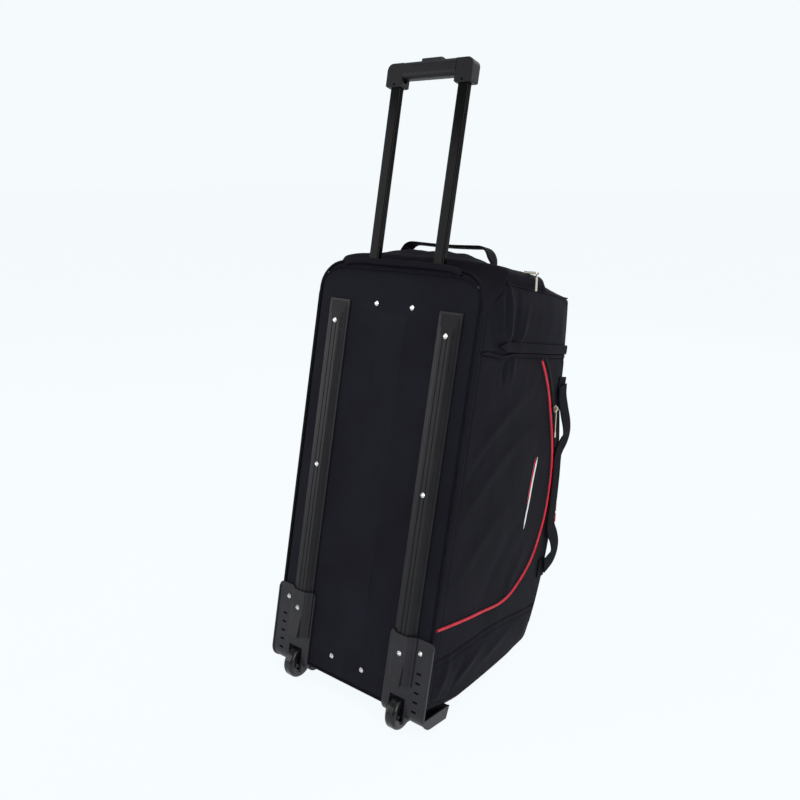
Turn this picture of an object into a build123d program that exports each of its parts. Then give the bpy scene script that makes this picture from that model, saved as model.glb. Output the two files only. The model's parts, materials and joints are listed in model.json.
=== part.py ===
from build123d import *
import math
import os

# Wheeled sports trolley bag, standing on end and leaning back on its wheels.
# Everything is drawn in the bag's own frame, in millimetres, and leaned back at the end:
#   X across the bag, Y from the base face (0) towards the opening face, Z along the bag's length.

# ---- overall sizes ----
LEAN = 13.2                 # angle of the base face from upright, degrees
BAG_LENGTH = 778.0          # wheel end to trolley end
BASE_HALF = 180.0           # half width of the base face, seam to seam
BULGE = 12.0                # how far each side swells past the base seam
BULGE_AT = 230.0            # depth at which the side is widest
CROWN_SWELL = 5.0           # how far each side stands past the base seam at the opening face
CROWN_HALF = BASE_HALF + CROWN_SWELL
SWELL_HALF = BASE_HALF + BULGE
TROLLEY_DEPTH = 337.0       # depth of the trolley end
CURVE_LOW = 80.0            # height at which the curve starts
CURVE_TO_END = 212.0        # from the curve's end to the trolley end
CURVE_HIGH = BAG_LENGTH - CURVE_TO_END
CREST_BELOW = 41.0          # crest of the curve below the middle of its run
CREST_DEPTH = 444.0         # depth at the crest
KINK_DEPTH = 374.88         # depth at the curve's end
CREST_Z = (CURVE_LOW + CURVE_HIGH) / 2 - CREST_BELOW
CREST_DROP = CREST_DEPTH - KINK_DEPTH
CURVE_RADIUS = ((CURVE_HIGH - CREST_Z) ** 2 + CREST_DROP**2) / (2 * CREST_DROP)
CURVE_CENTRE = (CREST_DEPTH - CURVE_RADIUS, CREST_Z)
END_RISE = 27.0             # the end pocket stands this far proud of the trolley end
END_POCKET = (62.0, 204.0)  # depths between which its top is flat
END_TOP = BAG_LENGTH + END_RISE
REST_FRONT = 310.0          # the wheel end lies flat on the floor from here to REST_BACK
REST_BACK = 388.0
BASE_LOW = -10.0            # wheel end of the base face
TOE = (119.0, -8.0)         # (depth, height) at which the wheel end starts to slope to the floor
LIP_RISE = 9.0              # base face stands this far past the trolley end
TOP_CORNER = 60.0
LOW_CORNER = 28.0
SKIN = 4.0                  # padded fabric thickness
BASE_SKIN = 3.0
BOARD_THICK = 3.8
BOARD_INSET = 10.0          # board inside the base seam
BOARD_LOW = 2.0
BOARD_TO_END = 14.0
LINING_THICK = 2.0
GAP = 0.3                   # clearance between separate pieces
INNER = BASE_SKIN + BOARD_THICK
FAR = BASE_HALF + 80.0      # past the bag's sides, for cutting
BEYOND = BAG_LENGTH + 122.0  # past its trolley end

# ---- wheels and housings ----
WHEEL_INSET = 53.0          # wheel middle inside the base seam
WHEEL_X = BASE_HALF - WHEEL_INSET
WHEEL_Y = 10.0
WHEEL_Z = -19.0
WHEEL_RADIUS = 32.0
TYRE_WIDTH = 23.0
TYRE_THICK = 12.0
RIM_RADIUS = WHEEL_RADIUS - TYRE_THICK
RIM_WALL = 3.0
BOSS_RADIUS = 8.0
AXLE_RADIUS = 3.0
AXLE_FIT = 0.05             # radial running clearance of hub on axle
WELL_CLEAR = 5.0            # tyre to well, radially
WELL_SIDE = 5.5             # tyre to well, each side
WELL_INNER = WHEEL_RADIUS + WELL_CLEAR
WELL_WALL = 4.0
WELL_WIDTH = TYRE_WIDTH + 2 * WELL_SIDE
HOUSING_OVER = 8.5          # housing past the base seam
HOUSING_WIDE = 95.5
HOUSING_OUT = BASE_HALF + HOUSING_OVER
HOUSING_IN = HOUSING_OUT - HOUSING_WIDE
HOUSING_TOP = 135.0
HOUSING_WALL = 3.0
HOUSING_CORNER = 10.0
FLANGE_DEPTH = 16.0
FOOT_DEPTH = 78.0
FOOT_CORNER = 30.0
FOOT_CLEAR = 4.4            # foot above the floor
RIM_RAISE = 1.4             # raised edge along the housing's outer side

# ---- skid rails ----
RAIL_INSET = 55.0
RAIL_X = BASE_HALF - RAIL_INSET
RAIL_HEIGHT = 12.0
RAIL_WALL = 3.0
RAIL_LOW = 45.0
RAIL_TO_END = 63.0
RAIL_TOP = BAG_LENGTH - RAIL_TO_END
RAIL_RAMP = 40.0
SCREW_RADIUS = 4.8
SHANK_RADIUS = 1.8
SCREW_FROM_TOP = 42.0
RAIL_SCREWS_Z = ((RAIL_LOW + RAIL_TOP) / 2 + 12.0, RAIL_TOP - SCREW_FROM_TOP)
SOCKET_SCREW_Z = HOUSING_TOP - 35.0
PLATE_SCREW = (RAIL_X + 36.0, HOUSING_TOP - 26.0)

# ---- trolley ----
TROLLEY_INSET = 107.6       # tube middle inside the base seam
TUBE_X = BASE_HALF - TROLLEY_INSET
TUBE_BEHIND = 14.2          # tube middle behind the board
TUBE_Y = INNER + TUBE_BEHIND
TUBE_WIDE = 22.0
TUBE_DEEP = 13.0
TUBE_WALL = 1.2
TUBE_FIT = 0.3
SLEEVE_WALL = 1.2
SLEEVE_TO_END = 10.0
SLEEVE_TOP = BAG_LENGTH - SLEEVE_TO_END
BRACKET_LOW = 14.0
BRACKET_TALL = 28.0
BRACKET_TO_END = 78.0
BRACKET_SIDE = 14.6         # bracket past each tube
BRACKET_HALF = TUBE_X + TUBE_WIDE / 2 + BRACKET_SIDE
BRACKET_BACK = TUBE_Y + TUBE_DEEP / 2 + TUBE_FIT + SLEEVE_WALL + 1.8
SLEEVE_LOW = BRACKET_LOW + 4.0
RIVETS = ((TUBE_X - 32.4, BAG_LENGTH - BRACKET_TO_END + BRACKET_TALL / 2),
          (TUBE_X - 35.4, BRACKET_LOW + BRACKET_TALL / 2))
TUBE_LAP = 158.0            # length of each sliding tube inside the bag
TUBE_REACH = 338.0          # and outside it
TUBE_LOW = BAG_LENGTH - TUBE_LAP
TUBE_TOP = BAG_LENGTH + TUBE_REACH
GRIP_LOW = TUBE_TOP + 4.0
GRIP_TALL = 30.0
GRIP_TOP = GRIP_LOW + GRIP_TALL
SOCKET_LAP = 9.0
SOCKET_LOW = TUBE_TOP - SOCKET_LAP
SOCKET_IN = TUBE_X - TUBE_WIDE / 2 - 5.4
GRIP_HALF = TUBE_X + TUBE_WIDE / 2 + 7.6
GRIP_DEEP = 26.0
BUTTON_HALF = 23.0
BUTTON_UNDER = 7.0          # button's foot below the grip's top
BUTTON_TRAVEL = 5.0
PIN_TRAVEL = 2.0
PIN_LENGTH = 12.0

# ---- opening, zips and handles ----
LID_INSET = 7.0
LID_HALF = BASE_HALF - LID_INSET
LID_LOW = CURVE_LOW + 16.0
LID_HIGH = CURVE_HIGH - 6.0
LID_CORNER = 60.0
HINGE_CORNER = 12.0
ZIP_WIDE = 8.0
ZIP_GAP = 0.5
PIPING_WIDE = 5.0
PIPING_START = (12.0, 158.0)
POCKET = ((200.0, 158.0), (378.0, CURVE_CENTRE[1] + 18.0), (372.0, CURVE_CENTRE[1] + 158.0),
          (245.0, BAG_LENGTH - 130.0))
POCKET_ZIP_OFFSET = 13.0
FLAP_START = (12.0, BAG_LENGTH - 114.0)
FLAP_END = BAG_LENGTH - 106.0
FLAP_INSET = 10.94          # flap's end inside the opening face
FLAP_WIDE = 22.0
SEAM_OVER = 1.5             # slider's middle past the zip's middle
MAIN_SLIDER_X = LID_HALF + ZIP_GAP + ZIP_WIDE / 2 + SEAM_OVER
MAIN_SLIDER_Z = LID_HIGH - 144.0
SLIDER_TALL = 12.0
MAIN_PULL_LENGTH = 140.0
SIDE_SLIDER_X = SWELL_HALF + 3.0
SIDE_SLIDER_Z = BAG_LENGTH - 226.0
END_SLIDER_Y = 155.0
END_PIN_X = SWELL_HALF + 5.0
WEBBING = 38.0
CARRY_X = SWELL_HALF + 2.0  # inner face of the carry handles
CARRY_TOP_Z = CURVE_HIGH + 32.0
CARRY_LOW_Z = CURVE_LOW + 114.0
CARRY_TOP_INSET = 7.16      # handle ends inside the opening face
CARRY_LOW_INSET = 24.85
CARRY_UPPER = ((-46.0, 16.0), (-79.0, 20.0), (-118.0, -25.0))    # (height from the curve's end, lift)
CARRY_LOWER = ((172.0, 13.0), (141.0, 21.0))                    # (height from the curve's start, lift)
CARRY_MIDDLE = ((0.606, -24.0), (0.212, -24.0))                  # (share of the run between them, lift)
STRAP_THICK = 4.0
HAUL_Y = 155.0
HAUL_INSET = 67.0
HAUL_HALF = BASE_HALF - HAUL_INSET
HAUL_RISE = 40.0
HAUL_LIFT = 2.0             # feet of the haul handle above the end pocket
ROLL_INSET = 62.0
ROLL_TALL = 19.0

lean = math.radians(LEAN)
FLOOR = -WHEEL_Y * math.sin(lean) + WHEEL_Z * math.cos(lean) - WHEEL_RADIUS
SIDES = (("left", -1), ("right", 1))


def floor_height(depth):
    """Height along the bag at which the floor lies, at this depth."""
    return (FLOOR + depth * math.sin(lean)) / math.cos(lean)


HOUSING_DROP = floor_height(FOOT_DEPTH) + FOOT_CLEAR


def curve_depth(height):
    """Depth of the curved opening face at this height along the bag."""
    return CURVE_CENTRE[0] + math.sqrt(CURVE_RADIUS**2 - (height - CURVE_CENTRE[1]) ** 2)


def face_depth(height):
    """Depth of the opening face at this height: the curve, then straight on to the trolley end."""
    if height < CURVE_HIGH:
        return curve_depth(height)
    kink = curve_depth(CURVE_HIGH)
    return kink + (TROLLEY_DEPTH - kink) * (height - CURVE_HIGH) / CURVE_TO_END


def along_x(sketch, low, high):
    """Extrude a sketch drawn as (depth, height) from x = low to x = high."""
    return extrude(Plane.YZ.offset(low) * sketch, amount=high - low)


def along_y(sketch, low, high):
    """Extrude a sketch drawn as (x, height) from y = low to y = high."""
    return extrude(Plane.XZ.offset(-low) * sketch, amount=low - high)


def along_z(sketch, low, high):
    """Extrude a sketch drawn as (x, depth) from z = low to z = high."""
    return extrude(Plane.XY.offset(low) * sketch, amount=high - low)


def block(x, y, z):
    """Box from three (low, high) pairs."""
    size = (x[1] - x[0], y[1] - y[0], z[1] - z[0])
    centre = ((x[0] + x[1]) / 2, (y[0] + y[1]) / 2, (z[0] + z[1]) / 2)
    return Pos(*centre) * Box(*size)


def soft_block(x, y, z, radius):
    """Box with all its edges rounded."""
    solid = block(x, y, z)
    return fillet(solid.edges(), radius)


def rod_x(x, y, z, radius):
    """Round rod along X from x[0] to x[1]."""
    return Pos((x[0] + x[1]) / 2, y, z) * Rot(0, 90, 0) * Cylinder(radius, x[1] - x[0])


def rod_y(x, y, z, radius):
    """Round rod along Y from y[0] to y[1]."""
    return Pos(x, (y[0] + y[1]) / 2, z) * Rot(90, 0, 0) * Cylinder(radius, y[1] - y[0])


def rod_z(x, y, z, radius):
    """Round rod along Z from z[0] to z[1]."""
    return Pos(x, y, (z[0] + z[1]) / 2) * Cylinder(radius, z[1] - z[0])


# ---------------- fabric shell ----------------

def outline():
    """Side view of the bag as (depth, height)."""
    low = (curve_depth(CURVE_LOW), CURVE_LOW)
    high = (curve_depth(CURVE_HIGH), CURVE_HIGH)
    middle = (CURVE_CENTRE[0] + CURVE_RADIUS, CURVE_CENTRE[1])
    near, deep = END_POCKET
    front = Polyline(high, (TROLLEY_DEPTH, BAG_LENGTH), (deep + 18, END_TOP - 15), (deep, END_TOP), (near, END_TOP),
                     (near - 26, BAG_LENGTH), (0, BAG_LENGTH), (0, BASE_LOW), TOE,
                     (REST_FRONT, floor_height(REST_FRONT)), (REST_BACK, floor_height(REST_BACK)), low)
    return make_face(front + ThreePointArc(low, middle, high))


def section(inset):
    """Cross-section of the bag as (x, depth), with its swelling sides moved in by inset."""
    near = (BASE_HALF - inset, -40)
    widest = (BASE_HALF + BULGE - inset, BULGE_AT)
    far = (CROWN_HALF - inset, 500)
    right = ThreePointArc(near, widest, far)
    left = ThreePointArc((-near[0], near[1]), (-widest[0], widest[1]), (-far[0], far[1]))
    ends = Line(near, (-near[0], near[1])) + Line(far, (-far[0], far[1]))
    return make_face(right + left + ends)


def skin_between(outer_inset, inner_inset):
    """Both side skins between two insets, as tall as the bag and more."""
    outer = along_z(section(outer_inset), -60, BAG_LENGTH + 60)
    return outer - along_z(section(inner_inset), -60, BAG_LENGTH + 60)


def one_side(shape, side):
    """Keep only the left (-1) or right (1) half of a shape."""
    x = (1, 400) if side > 0 else (-400, -1)
    return shape & block(x, (-200, 700), (-200, 1300))


def window(grow):
    """The lid's outline as (x, height), grown by a margin; the corners away from the hinge are round."""
    width = 2 * (LID_HALF + grow)
    height = LID_HIGH - LID_LOW + 2 * grow
    middle = (LID_HIGH + LID_LOW) / 2
    round_end = Pos(0, middle) * RectangleRounded(width, height, LID_CORNER + grow)
    square_end = Pos(-width / 4, middle) * RectangleRounded(width / 2, height, HINGE_CORNER)
    return round_end + square_end


def base_outline(inset):
    """The base face as (x, height): large round corners at the trolley end."""
    half = BASE_HALF - inset
    low, high = BASE_LOW + inset, BAG_LENGTH + LIP_RISE - inset
    face = make_face(Polyline((-half, low), (half, low), (half, high), (-half, high), (-half, low)))
    tops = [v for v in face.vertices() if v.Y > 0]
    face = fillet(tops, TOP_CORNER - inset)
    bottoms = [v for v in face.vertices() if v.Y < 20]
    return fillet(bottoms, LOW_CORNER - inset)


def wheel_wells(margin):
    """The round pockets that the wheel housings push into the bag."""
    reach = WELL_WIDTH / 2 + WELL_WALL + margin
    radius = WELL_INNER + WELL_WALL + margin
    wells = [rod_x((s * WHEEL_X - reach, s * WHEEL_X + reach), WHEEL_Y, WHEEL_Z, radius) for _, s in SIDES]
    return wells[0] + wells[1]


def make_shell():
    """Side panels, end panels, opening surround and lid, cut from one closed form."""
    wide = (-FAR, FAR)
    split = CURVE_HIGH + 84
    body = along_x(outline(), *wide)
    hollow = along_x(offset(outline(), amount=-SKIN), *wide)
    core = along_z(section(SKIN), -60, BAG_LENGTH + 60)
    ring = body - hollow - block(wide, (-10, INNER + 0.4), (BASE_LOW + SKIN + 1.5, BAG_LENGTH - SKIN - 0.5))
    ring = (ring & core) - block(wide, (-60, BASE_SKIN), (-100, BEYOND))
    wells = wheel_wells(GAP)
    slots = Sketch()
    for _, side in SIDES:
        slots += Pos(side * TUBE_X, TUBE_Y) * RectangleRounded(TUBE_WIDE + 1, TUBE_DEEP + 1, 3)
    wheel_end = (ring & block(wide, (-10, 600), (-100, CURVE_LOW))) - wells
    trolley_end = ring & block(wide, (-10, 600), (split, BEYOND))
    opening = ring & block(wide, (200, 600), (CURVE_LOW, split))
    zip_outer = along_y(window(ZIP_GAP + ZIP_WIDE), 200, 600)
    zip_inner = along_y(window(ZIP_GAP), 200, 600)
    lid = opening & along_y(window(0), 200, 600)
    chain = (opening & zip_outer) - zip_inner
    side = skin_between(0, SKIN) & body & block(wide, (BASE_SKIN, 600), (-100, BEYOND))
    parts = {
        "side_panel_left": one_side(side, -1),
        "side_panel_right": one_side(side, 1),
        "wheel_end_panel": wheel_end,
        "trolley_end_panel": trolley_end - along_z(slots, SLEEVE_TOP - 20, BEYOND),
        "opening_surround": opening - zip_outer,
        "main_zip_chain": chain,
        "main_lid": lid,
    }
    return parts


def make_base():
    """Base panel, its corded seam, the stiff board behind it and the lining over the trolley tubes."""
    panel = along_y(base_outline(6), 0, BASE_SKIN)
    welt = along_y(base_outline(0), -BASE_SKIN, BASE_SKIN) - along_y(base_outline(6), -10, 10)
    wells = wheel_wells(GAP)
    welt -= wells
    for _, side in SIDES:
        low, high = sorted((side * (HOUSING_IN - GAP), side * (HOUSING_OUT + 12)))
        welt -= block((low, high), (-10, GAP), (-60, HOUSING_TOP + GAP))
    half, top = BASE_HALF - BOARD_INSET, BAG_LENGTH - BOARD_TO_END
    board = block((-half, half), (BASE_SKIN, INNER), (BOARD_LOW, top)) - wells
    back = BRACKET_BACK + 0.2
    lining = block((5 - half, half - 5), (back, back + LINING_THICK), (BOARD_LOW + 2, top)) - wells
    holes = fastener_holes()
    return {"base_panel": panel - wells - holes, "base_welt": welt, "base_board": board - holes,
            "lining": lining}


# ---------------- fasteners ----------------

def fastener(x, y, z, radius, shank, depth):
    """Domed head standing on the face at depth y, with a shank going in to depth."""
    level = (Align.CENTER, Align.CENTER, Align.MIN)
    dome = Pos(x, y, z) * Rot(90, 0, 0) * Cone(radius, radius * 0.45, 2.2, align=level)
    return dome + rod_y(x, (y, depth), z, shank)


def rail_screw_places():
    """Where the rail screws stand: on the flat of each rail."""
    return [(side * RAIL_X, -RAIL_HEIGHT, z) for _, side in SIDES for z in RAIL_SCREWS_Z]


def housing_screw_places():
    """One screw on each housing's raised socket and one on its plate."""
    places = []
    for _, side in SIDES:
        places.append((side * RAIL_X, -RAIL_HEIGHT - HOUSING_WALL - GAP, SOCKET_SCREW_Z))
        places.append((side * PLATE_SCREW[0], -HOUSING_WALL, PLATE_SCREW[1]))
    return places


def rivet_places():
    """Two rivets for each trolley bracket."""
    return [(side * x, 0.0, z) for _, side in SIDES for x, z in RIVETS]


def fastener_holes():
    """Clear holes for every screw and rivet shank."""
    holes = Part()
    for x, y, z in rail_screw_places() + housing_screw_places() + rivet_places():
        holes += rod_y(x, (y - 1, INNER + 8), z, SHANK_RADIUS)
    return holes


def make_fasteners():
    """Screws and rivets, each kind as one group."""
    rail = [fastener(x, y, z, SCREW_RADIUS, SHANK_RADIUS, INNER) for x, y, z in rail_screw_places()]
    housing = [fastener(x, y, z, SCREW_RADIUS, SHANK_RADIUS, INNER) for x, y, z in housing_screw_places()]
    rivets = [fastener(x, y, z, SCREW_RADIUS, SHANK_RADIUS, INNER + 6) for x, y, z in rivet_places()]
    return {"rail_screws": Compound(rail), "housing_screws": Compound(housing), "bracket_rivets": Compound(rivets)}


# ---------------- rails and wheel housings ----------------

def rail_half(grow):
    """Right half of the rail's ribbed section as (x, outward height), grown by a margin."""
    top = RAIL_HEIGHT
    steps = [(24, 0), (24, 2.2), (18.5, 2.6), (15.5, top - 4), (12.5, top - 3.4), (10.5, top)]
    return [(x + grow, h + (grow if h > 0 else 0)) for x, h in steps]


def rail_section(grow):
    """Whole rail section about x = 0, standing outward from the base face."""
    right = [(x, -h) for x, h in rail_half(grow)]
    left = [(-x, y) for x, y in reversed(right)]
    return make_face(Polyline(*right, *left, right[0]))


def make_rail(side):
    """Hollow ribbed skid rail with a ramped top end."""
    centre = Pos(side * RAIL_X, 0)
    rail = along_z(centre * rail_section(0), RAIL_LOW, RAIL_TOP)
    deep = RAIL_WALL - RAIL_HEIGHT
    inner = make_face(Polyline((-19, 0), (19, 0), (8, deep), (-8, deep), (-19, 0)))
    rail -= along_z(centre * inner, RAIL_LOW + 4, RAIL_TOP - RAIL_RAMP - 20)
    for x in (-4.5, 4.5):
        rail -= along_z(Pos(side * RAIL_X + x, -RAIL_HEIGHT) * Rectangle(1.6, 2), RAIL_LOW - 1, RAIL_TOP)
    ramp = make_face(Polyline((-RAIL_HEIGHT - 2, RAIL_TOP - RAIL_RAMP), (-RAIL_HEIGHT, RAIL_TOP - RAIL_RAMP),
                              (-2.2, RAIL_TOP - 4), (-2.2, RAIL_TOP + 9), (-RAIL_HEIGHT - 2, RAIL_TOP + 9),
                              (-RAIL_HEIGHT - 2, RAIL_TOP - RAIL_RAMP)))
    low, high = side * RAIL_X - 30, side * RAIL_X + 30
    return rail - along_x(ramp, low, high) - fastener_holes()


def housing_profile(inset):
    """Side view of the housing as (depth, height): a plate on the base face and a foot under the bag."""
    front = -HOUSING_WALL + inset
    low = HOUSING_DROP + inset
    corner = FOOT_CORNER - inset
    cut = corner * (1 - math.sqrt(0.5))
    turn = ThreePointArc((front, low + corner), (front + cut, low + cut), (front + corner, low))
    rest = Polyline((front + corner, low), (FOOT_DEPTH - inset, low), (FOOT_DEPTH + 10 - inset, 6), (0.001, 6),
                    (0.001, HOUSING_TOP), (front, HOUSING_TOP), (front, low + corner))
    return make_face(turn + rest)


def make_housing(side):
    """Moulded wheel housing: plate, side flange, foot, rail socket and wheel well."""
    wall = HOUSING_WALL
    shell = along_x(housing_profile(0), HOUSING_IN, HOUSING_OUT)
    foot_space = block((HOUSING_IN + wall, HOUSING_OUT - wall), (0, FOOT_DEPTH - wall), (HOUSING_DROP + wall, 10))
    corner_space = rod_x((HOUSING_IN + wall, HOUSING_OUT - wall), FOOT_CORNER - wall,
                         HOUSING_DROP + FOOT_CORNER, FOOT_CORNER - wall)
    trim = block((0, 400), (-60, FOOT_CORNER - wall), (-90, HOUSING_DROP + FOOT_CORNER)) - corner_space
    shell -= foot_space - trim
    flange = block((HOUSING_OUT - wall, HOUSING_OUT), (-wall, FLANGE_DEPTH), (-12, HOUSING_TOP - 12))
    flange = fillet(flange.edges().filter_by(Axis.X).group_by(Axis.Y)[-1], 8)
    plate_corners = [e for e in shell.edges().filter_by(Axis.Y) if e.center().Z > HOUSING_TOP - 1]
    shell = fillet(plate_corners, HOUSING_CORNER)
    edge = along_x(housing_profile(-RIM_RAISE), HOUSING_OUT - wall, HOUSING_OUT)
    shell += edge & block((0, FAR), (-60, 200), (-90, HOUSING_TOP - HOUSING_CORNER))
    socket = along_z(Pos(RAIL_X, 0) * rail_section(wall + GAP), RAIL_LOW - GAP - wall, HOUSING_TOP)
    front = -RAIL_HEIGHT - GAP - wall
    ramp = Polyline((front + 1, SOCKET_SCREW_Z - 14), (front, SOCKET_SCREW_Z - 14), (front - 6, RAIL_LOW - 3),
                    (front + 1, RAIL_LOW - 3), (front + 1, SOCKET_SCREW_Z - 14))
    shell = shell + flange + socket + along_x(make_face(ramp), RAIL_X - 12, RAIL_X + 12)
    reach = WELL_WIDTH / 2 + WELL_WALL
    well = rod_x((WHEEL_X - reach, WHEEL_X + reach), WHEEL_Y, WHEEL_Z, WELL_INNER + WELL_WALL)
    well = well & block((0, 400), (-wall, 200), (HOUSING_DROP, 200))
    outside = shell - along_x(outline(), 0, 400)
    housing = outside + well
    half = WELL_WIDTH / 2
    housing -= rod_x((WHEEL_X - half, WHEEL_X + half), WHEEL_Y, WHEEL_Z, WELL_INNER)
    housing -= rod_x((WHEEL_X - 40, WHEEL_X + 40), WHEEL_Y, WHEEL_Z, AXLE_RADIUS)
    housing -= along_z(Pos(RAIL_X, 0) * rail_section(GAP), RAIL_LOW - GAP, HOUSING_TOP + 1)
    for step in range(6):
        level = HOUSING_TOP - 65 - 18 * step
        housing -= block((RAIL_X + 35, RAIL_X + 45), (-10, 0.001), (level, level + 4))
    inside = block((WHEEL_X + 20, HOUSING_OUT - wall - 0.5), (0, 99), (BASE_LOW + 1, HOUSING_TOP + 5))
    housing -= along_x(outline(), HOUSING_OUT - 60, HOUSING_OUT - wall - 0.001) & inside
    if side < 0:
        housing = mirror(housing, about=Plane.YZ)
    return housing - fastener_holes()


def make_wheel(side):
    """Tyre, hub and fixed axle of one wheel."""
    x = side * WHEEL_X
    reach = WELL_WIDTH / 2 + WELL_WALL
    tyre = rod_x((x - TYRE_WIDTH / 2, x + TYRE_WIDTH / 2), WHEEL_Y, WHEEL_Z, WHEEL_RADIUS)
    tyre = fillet(tyre.edges(), 6)
    tyre -= rod_x((x - 30, x + 30), WHEEL_Y, WHEEL_Z, RIM_RADIUS)
    core = WELL_WIDTH / 2 - GAP
    hub = rod_x((x - TYRE_WIDTH / 2 + 2, x + TYRE_WIDTH / 2 - 2), WHEEL_Y, WHEEL_Z, RIM_RADIUS)
    for face in (-1, 1):
        near, far = sorted((x + face * 3.5, x + face * 30))
        hub -= rod_x((near, far), WHEEL_Y, WHEEL_Z, RIM_RADIUS - RIM_WALL)
    hub += rod_x((x - core, x + core), WHEEL_Y, WHEEL_Z, BOSS_RADIUS)
    web = RIM_RADIUS - RIM_WALL - BOSS_RADIUS
    ring = BOSS_RADIUS + web / 2
    for spoke in range(5):
        angle = math.radians(72 * spoke)
        y = WHEEL_Y + ring * math.cos(angle)
        z = WHEEL_Z + ring * math.sin(angle)
        hub -= rod_x((x - 20, x + 20), y, z, web / 3)
    hub -= rod_x((x - 30, x + 30), WHEEL_Y, WHEEL_Z, AXLE_RADIUS + AXLE_FIT)
    axle = rod_x((x - reach, x + reach), WHEEL_Y, WHEEL_Z, AXLE_RADIUS)
    return {"wheel_tyre_": tyre, "wheel_hub_": hub, "wheel_axle_": axle}


# ---------------- telescoping handle ----------------

def tube_sketch(side, width, depth, radius):
    """Rounded rectangle about one tube's centre line."""
    return Pos(side * TUBE_X, TUBE_Y) * RectangleRounded(width, depth, radius)


def make_sleeve(side):
    """Fixed outer tube of the trolley."""
    wide = TUBE_WIDE + 2 * TUBE_FIT
    deep = TUBE_DEEP + 2 * TUBE_FIT
    outer = tube_sketch(side, wide + 2 * SLEEVE_WALL, deep + 2 * SLEEVE_WALL, 4)
    return along_z(outer - tube_sketch(side, wide, deep, 3), SLEEVE_LOW, SLEEVE_TOP)


def make_bracket(low, high, through):
    """Block that holds both sleeves and takes two rivets."""
    bracket = block((-BRACKET_HALF, BRACKET_HALF), (INNER, BRACKET_BACK), (low, high))
    bracket = fillet(bracket.edges().filter_by(Axis.Y), 6)
    wide = TUBE_WIDE + 2 * (TUBE_FIT + SLEEVE_WALL)
    deep = TUBE_DEEP + 2 * (TUBE_FIT + SLEEVE_WALL)
    floor = low - 1 if through else SLEEVE_LOW
    for _, side in SIDES:
        bracket -= along_z(tube_sketch(side, wide, deep, 4), floor, high + 1)
    return bracket - fastener_holes()


def make_tube(side):
    """Sliding inner tube."""
    inner = tube_sketch(side, TUBE_WIDE - 2 * TUBE_WALL, TUBE_DEEP - 2 * TUBE_WALL, 1.8)
    return along_z(tube_sketch(side, TUBE_WIDE, TUBE_DEEP, 3) - inner, TUBE_LOW, TUBE_TOP)


def make_lock(side):
    """Plug in the foot of one sliding tube, and the sprung pin in it."""
    head = along_z(tube_sketch(side, TUBE_WIDE, TUBE_DEEP, 3), TUBE_LOW - 20, TUBE_LOW)
    neck = along_z(tube_sketch(side, TUBE_WIDE - 2 * TUBE_WALL, TUBE_DEEP - 2 * TUBE_WALL, 1.8), TUBE_LOW, TUBE_LOW + 20)
    pin_z = TUBE_LOW - 10
    tip = side * (TUBE_X + TUBE_WIDE / 2)
    root = side * (TUBE_X + TUBE_WIDE / 2 - PIN_LENGTH)
    stop = side * (TUBE_X + TUBE_WIDE / 2 - PIN_LENGTH - PIN_TRAVEL - 1)
    pin = rod_x(sorted((tip, root)), TUBE_Y, pin_z, 2.5)
    hole = rod_x(sorted((tip + side, stop)), TUBE_Y, pin_z, 2.55)
    return {"lock_plug_": head + neck - hole, "lock_pin_": pin}


def make_corner(side):
    """Corner socket that joins a tube to the grip."""
    low, high = sorted((side * SOCKET_IN, side * GRIP_HALF))
    deep = (TUBE_Y - GRIP_DEEP / 2 + 1, TUBE_Y + GRIP_DEEP / 2 - 1)
    corner = block((low, high), deep, (SOCKET_LOW, GRIP_TOP - 2))
    outer_top = [e for e in corner.edges().filter_by(Axis.Y) if e.center().Z > GRIP_LOW and abs(e.center().X) > TUBE_X]
    corner = fillet(outer_top, 12)
    corner = chamfer(corner.edges().group_by(Axis.Z)[0], 2)
    corner -= along_z(tube_sketch(side, TUBE_WIDE, TUBE_DEEP, 3), SOCKET_LOW - 1, TUBE_TOP)
    space = sorted((side * (SOCKET_IN - 1), side * (TUBE_X + 6)))
    corner -= block(space, (TUBE_Y - 5, TUBE_Y + 5), (TUBE_TOP - 1, GRIP_TOP - 8))
    corner -= rod_y(side * TUBE_X, (0, deep[0] + 3), SOCKET_LOW + SOCKET_LAP / 2, 2.2)
    return corner


def make_grip():
    """Hand grip between the corner sockets, hollow for the release yoke."""
    half = SOCKET_IN
    deep = (TUBE_Y - GRIP_DEEP / 2, TUBE_Y + GRIP_DEEP / 2)
    grip = block((-half, half), deep, (GRIP_LOW, GRIP_TOP))
    grip = fillet(grip.edges().filter_by(Axis.X), 9)
    grip -= block((-half - 1, half + 1), (TUBE_Y - 5, TUBE_Y + 5), (GRIP_LOW + 4, GRIP_TOP - 8))
    opening = Pos(0, TUBE_Y) * RectangleRounded(2 * BUTTON_HALF + 1, 15, 5)
    return grip - along_z(opening, GRIP_TOP - BUTTON_UNDER - BUTTON_TRAVEL - 1.5, GRIP_TOP + 5)


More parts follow.
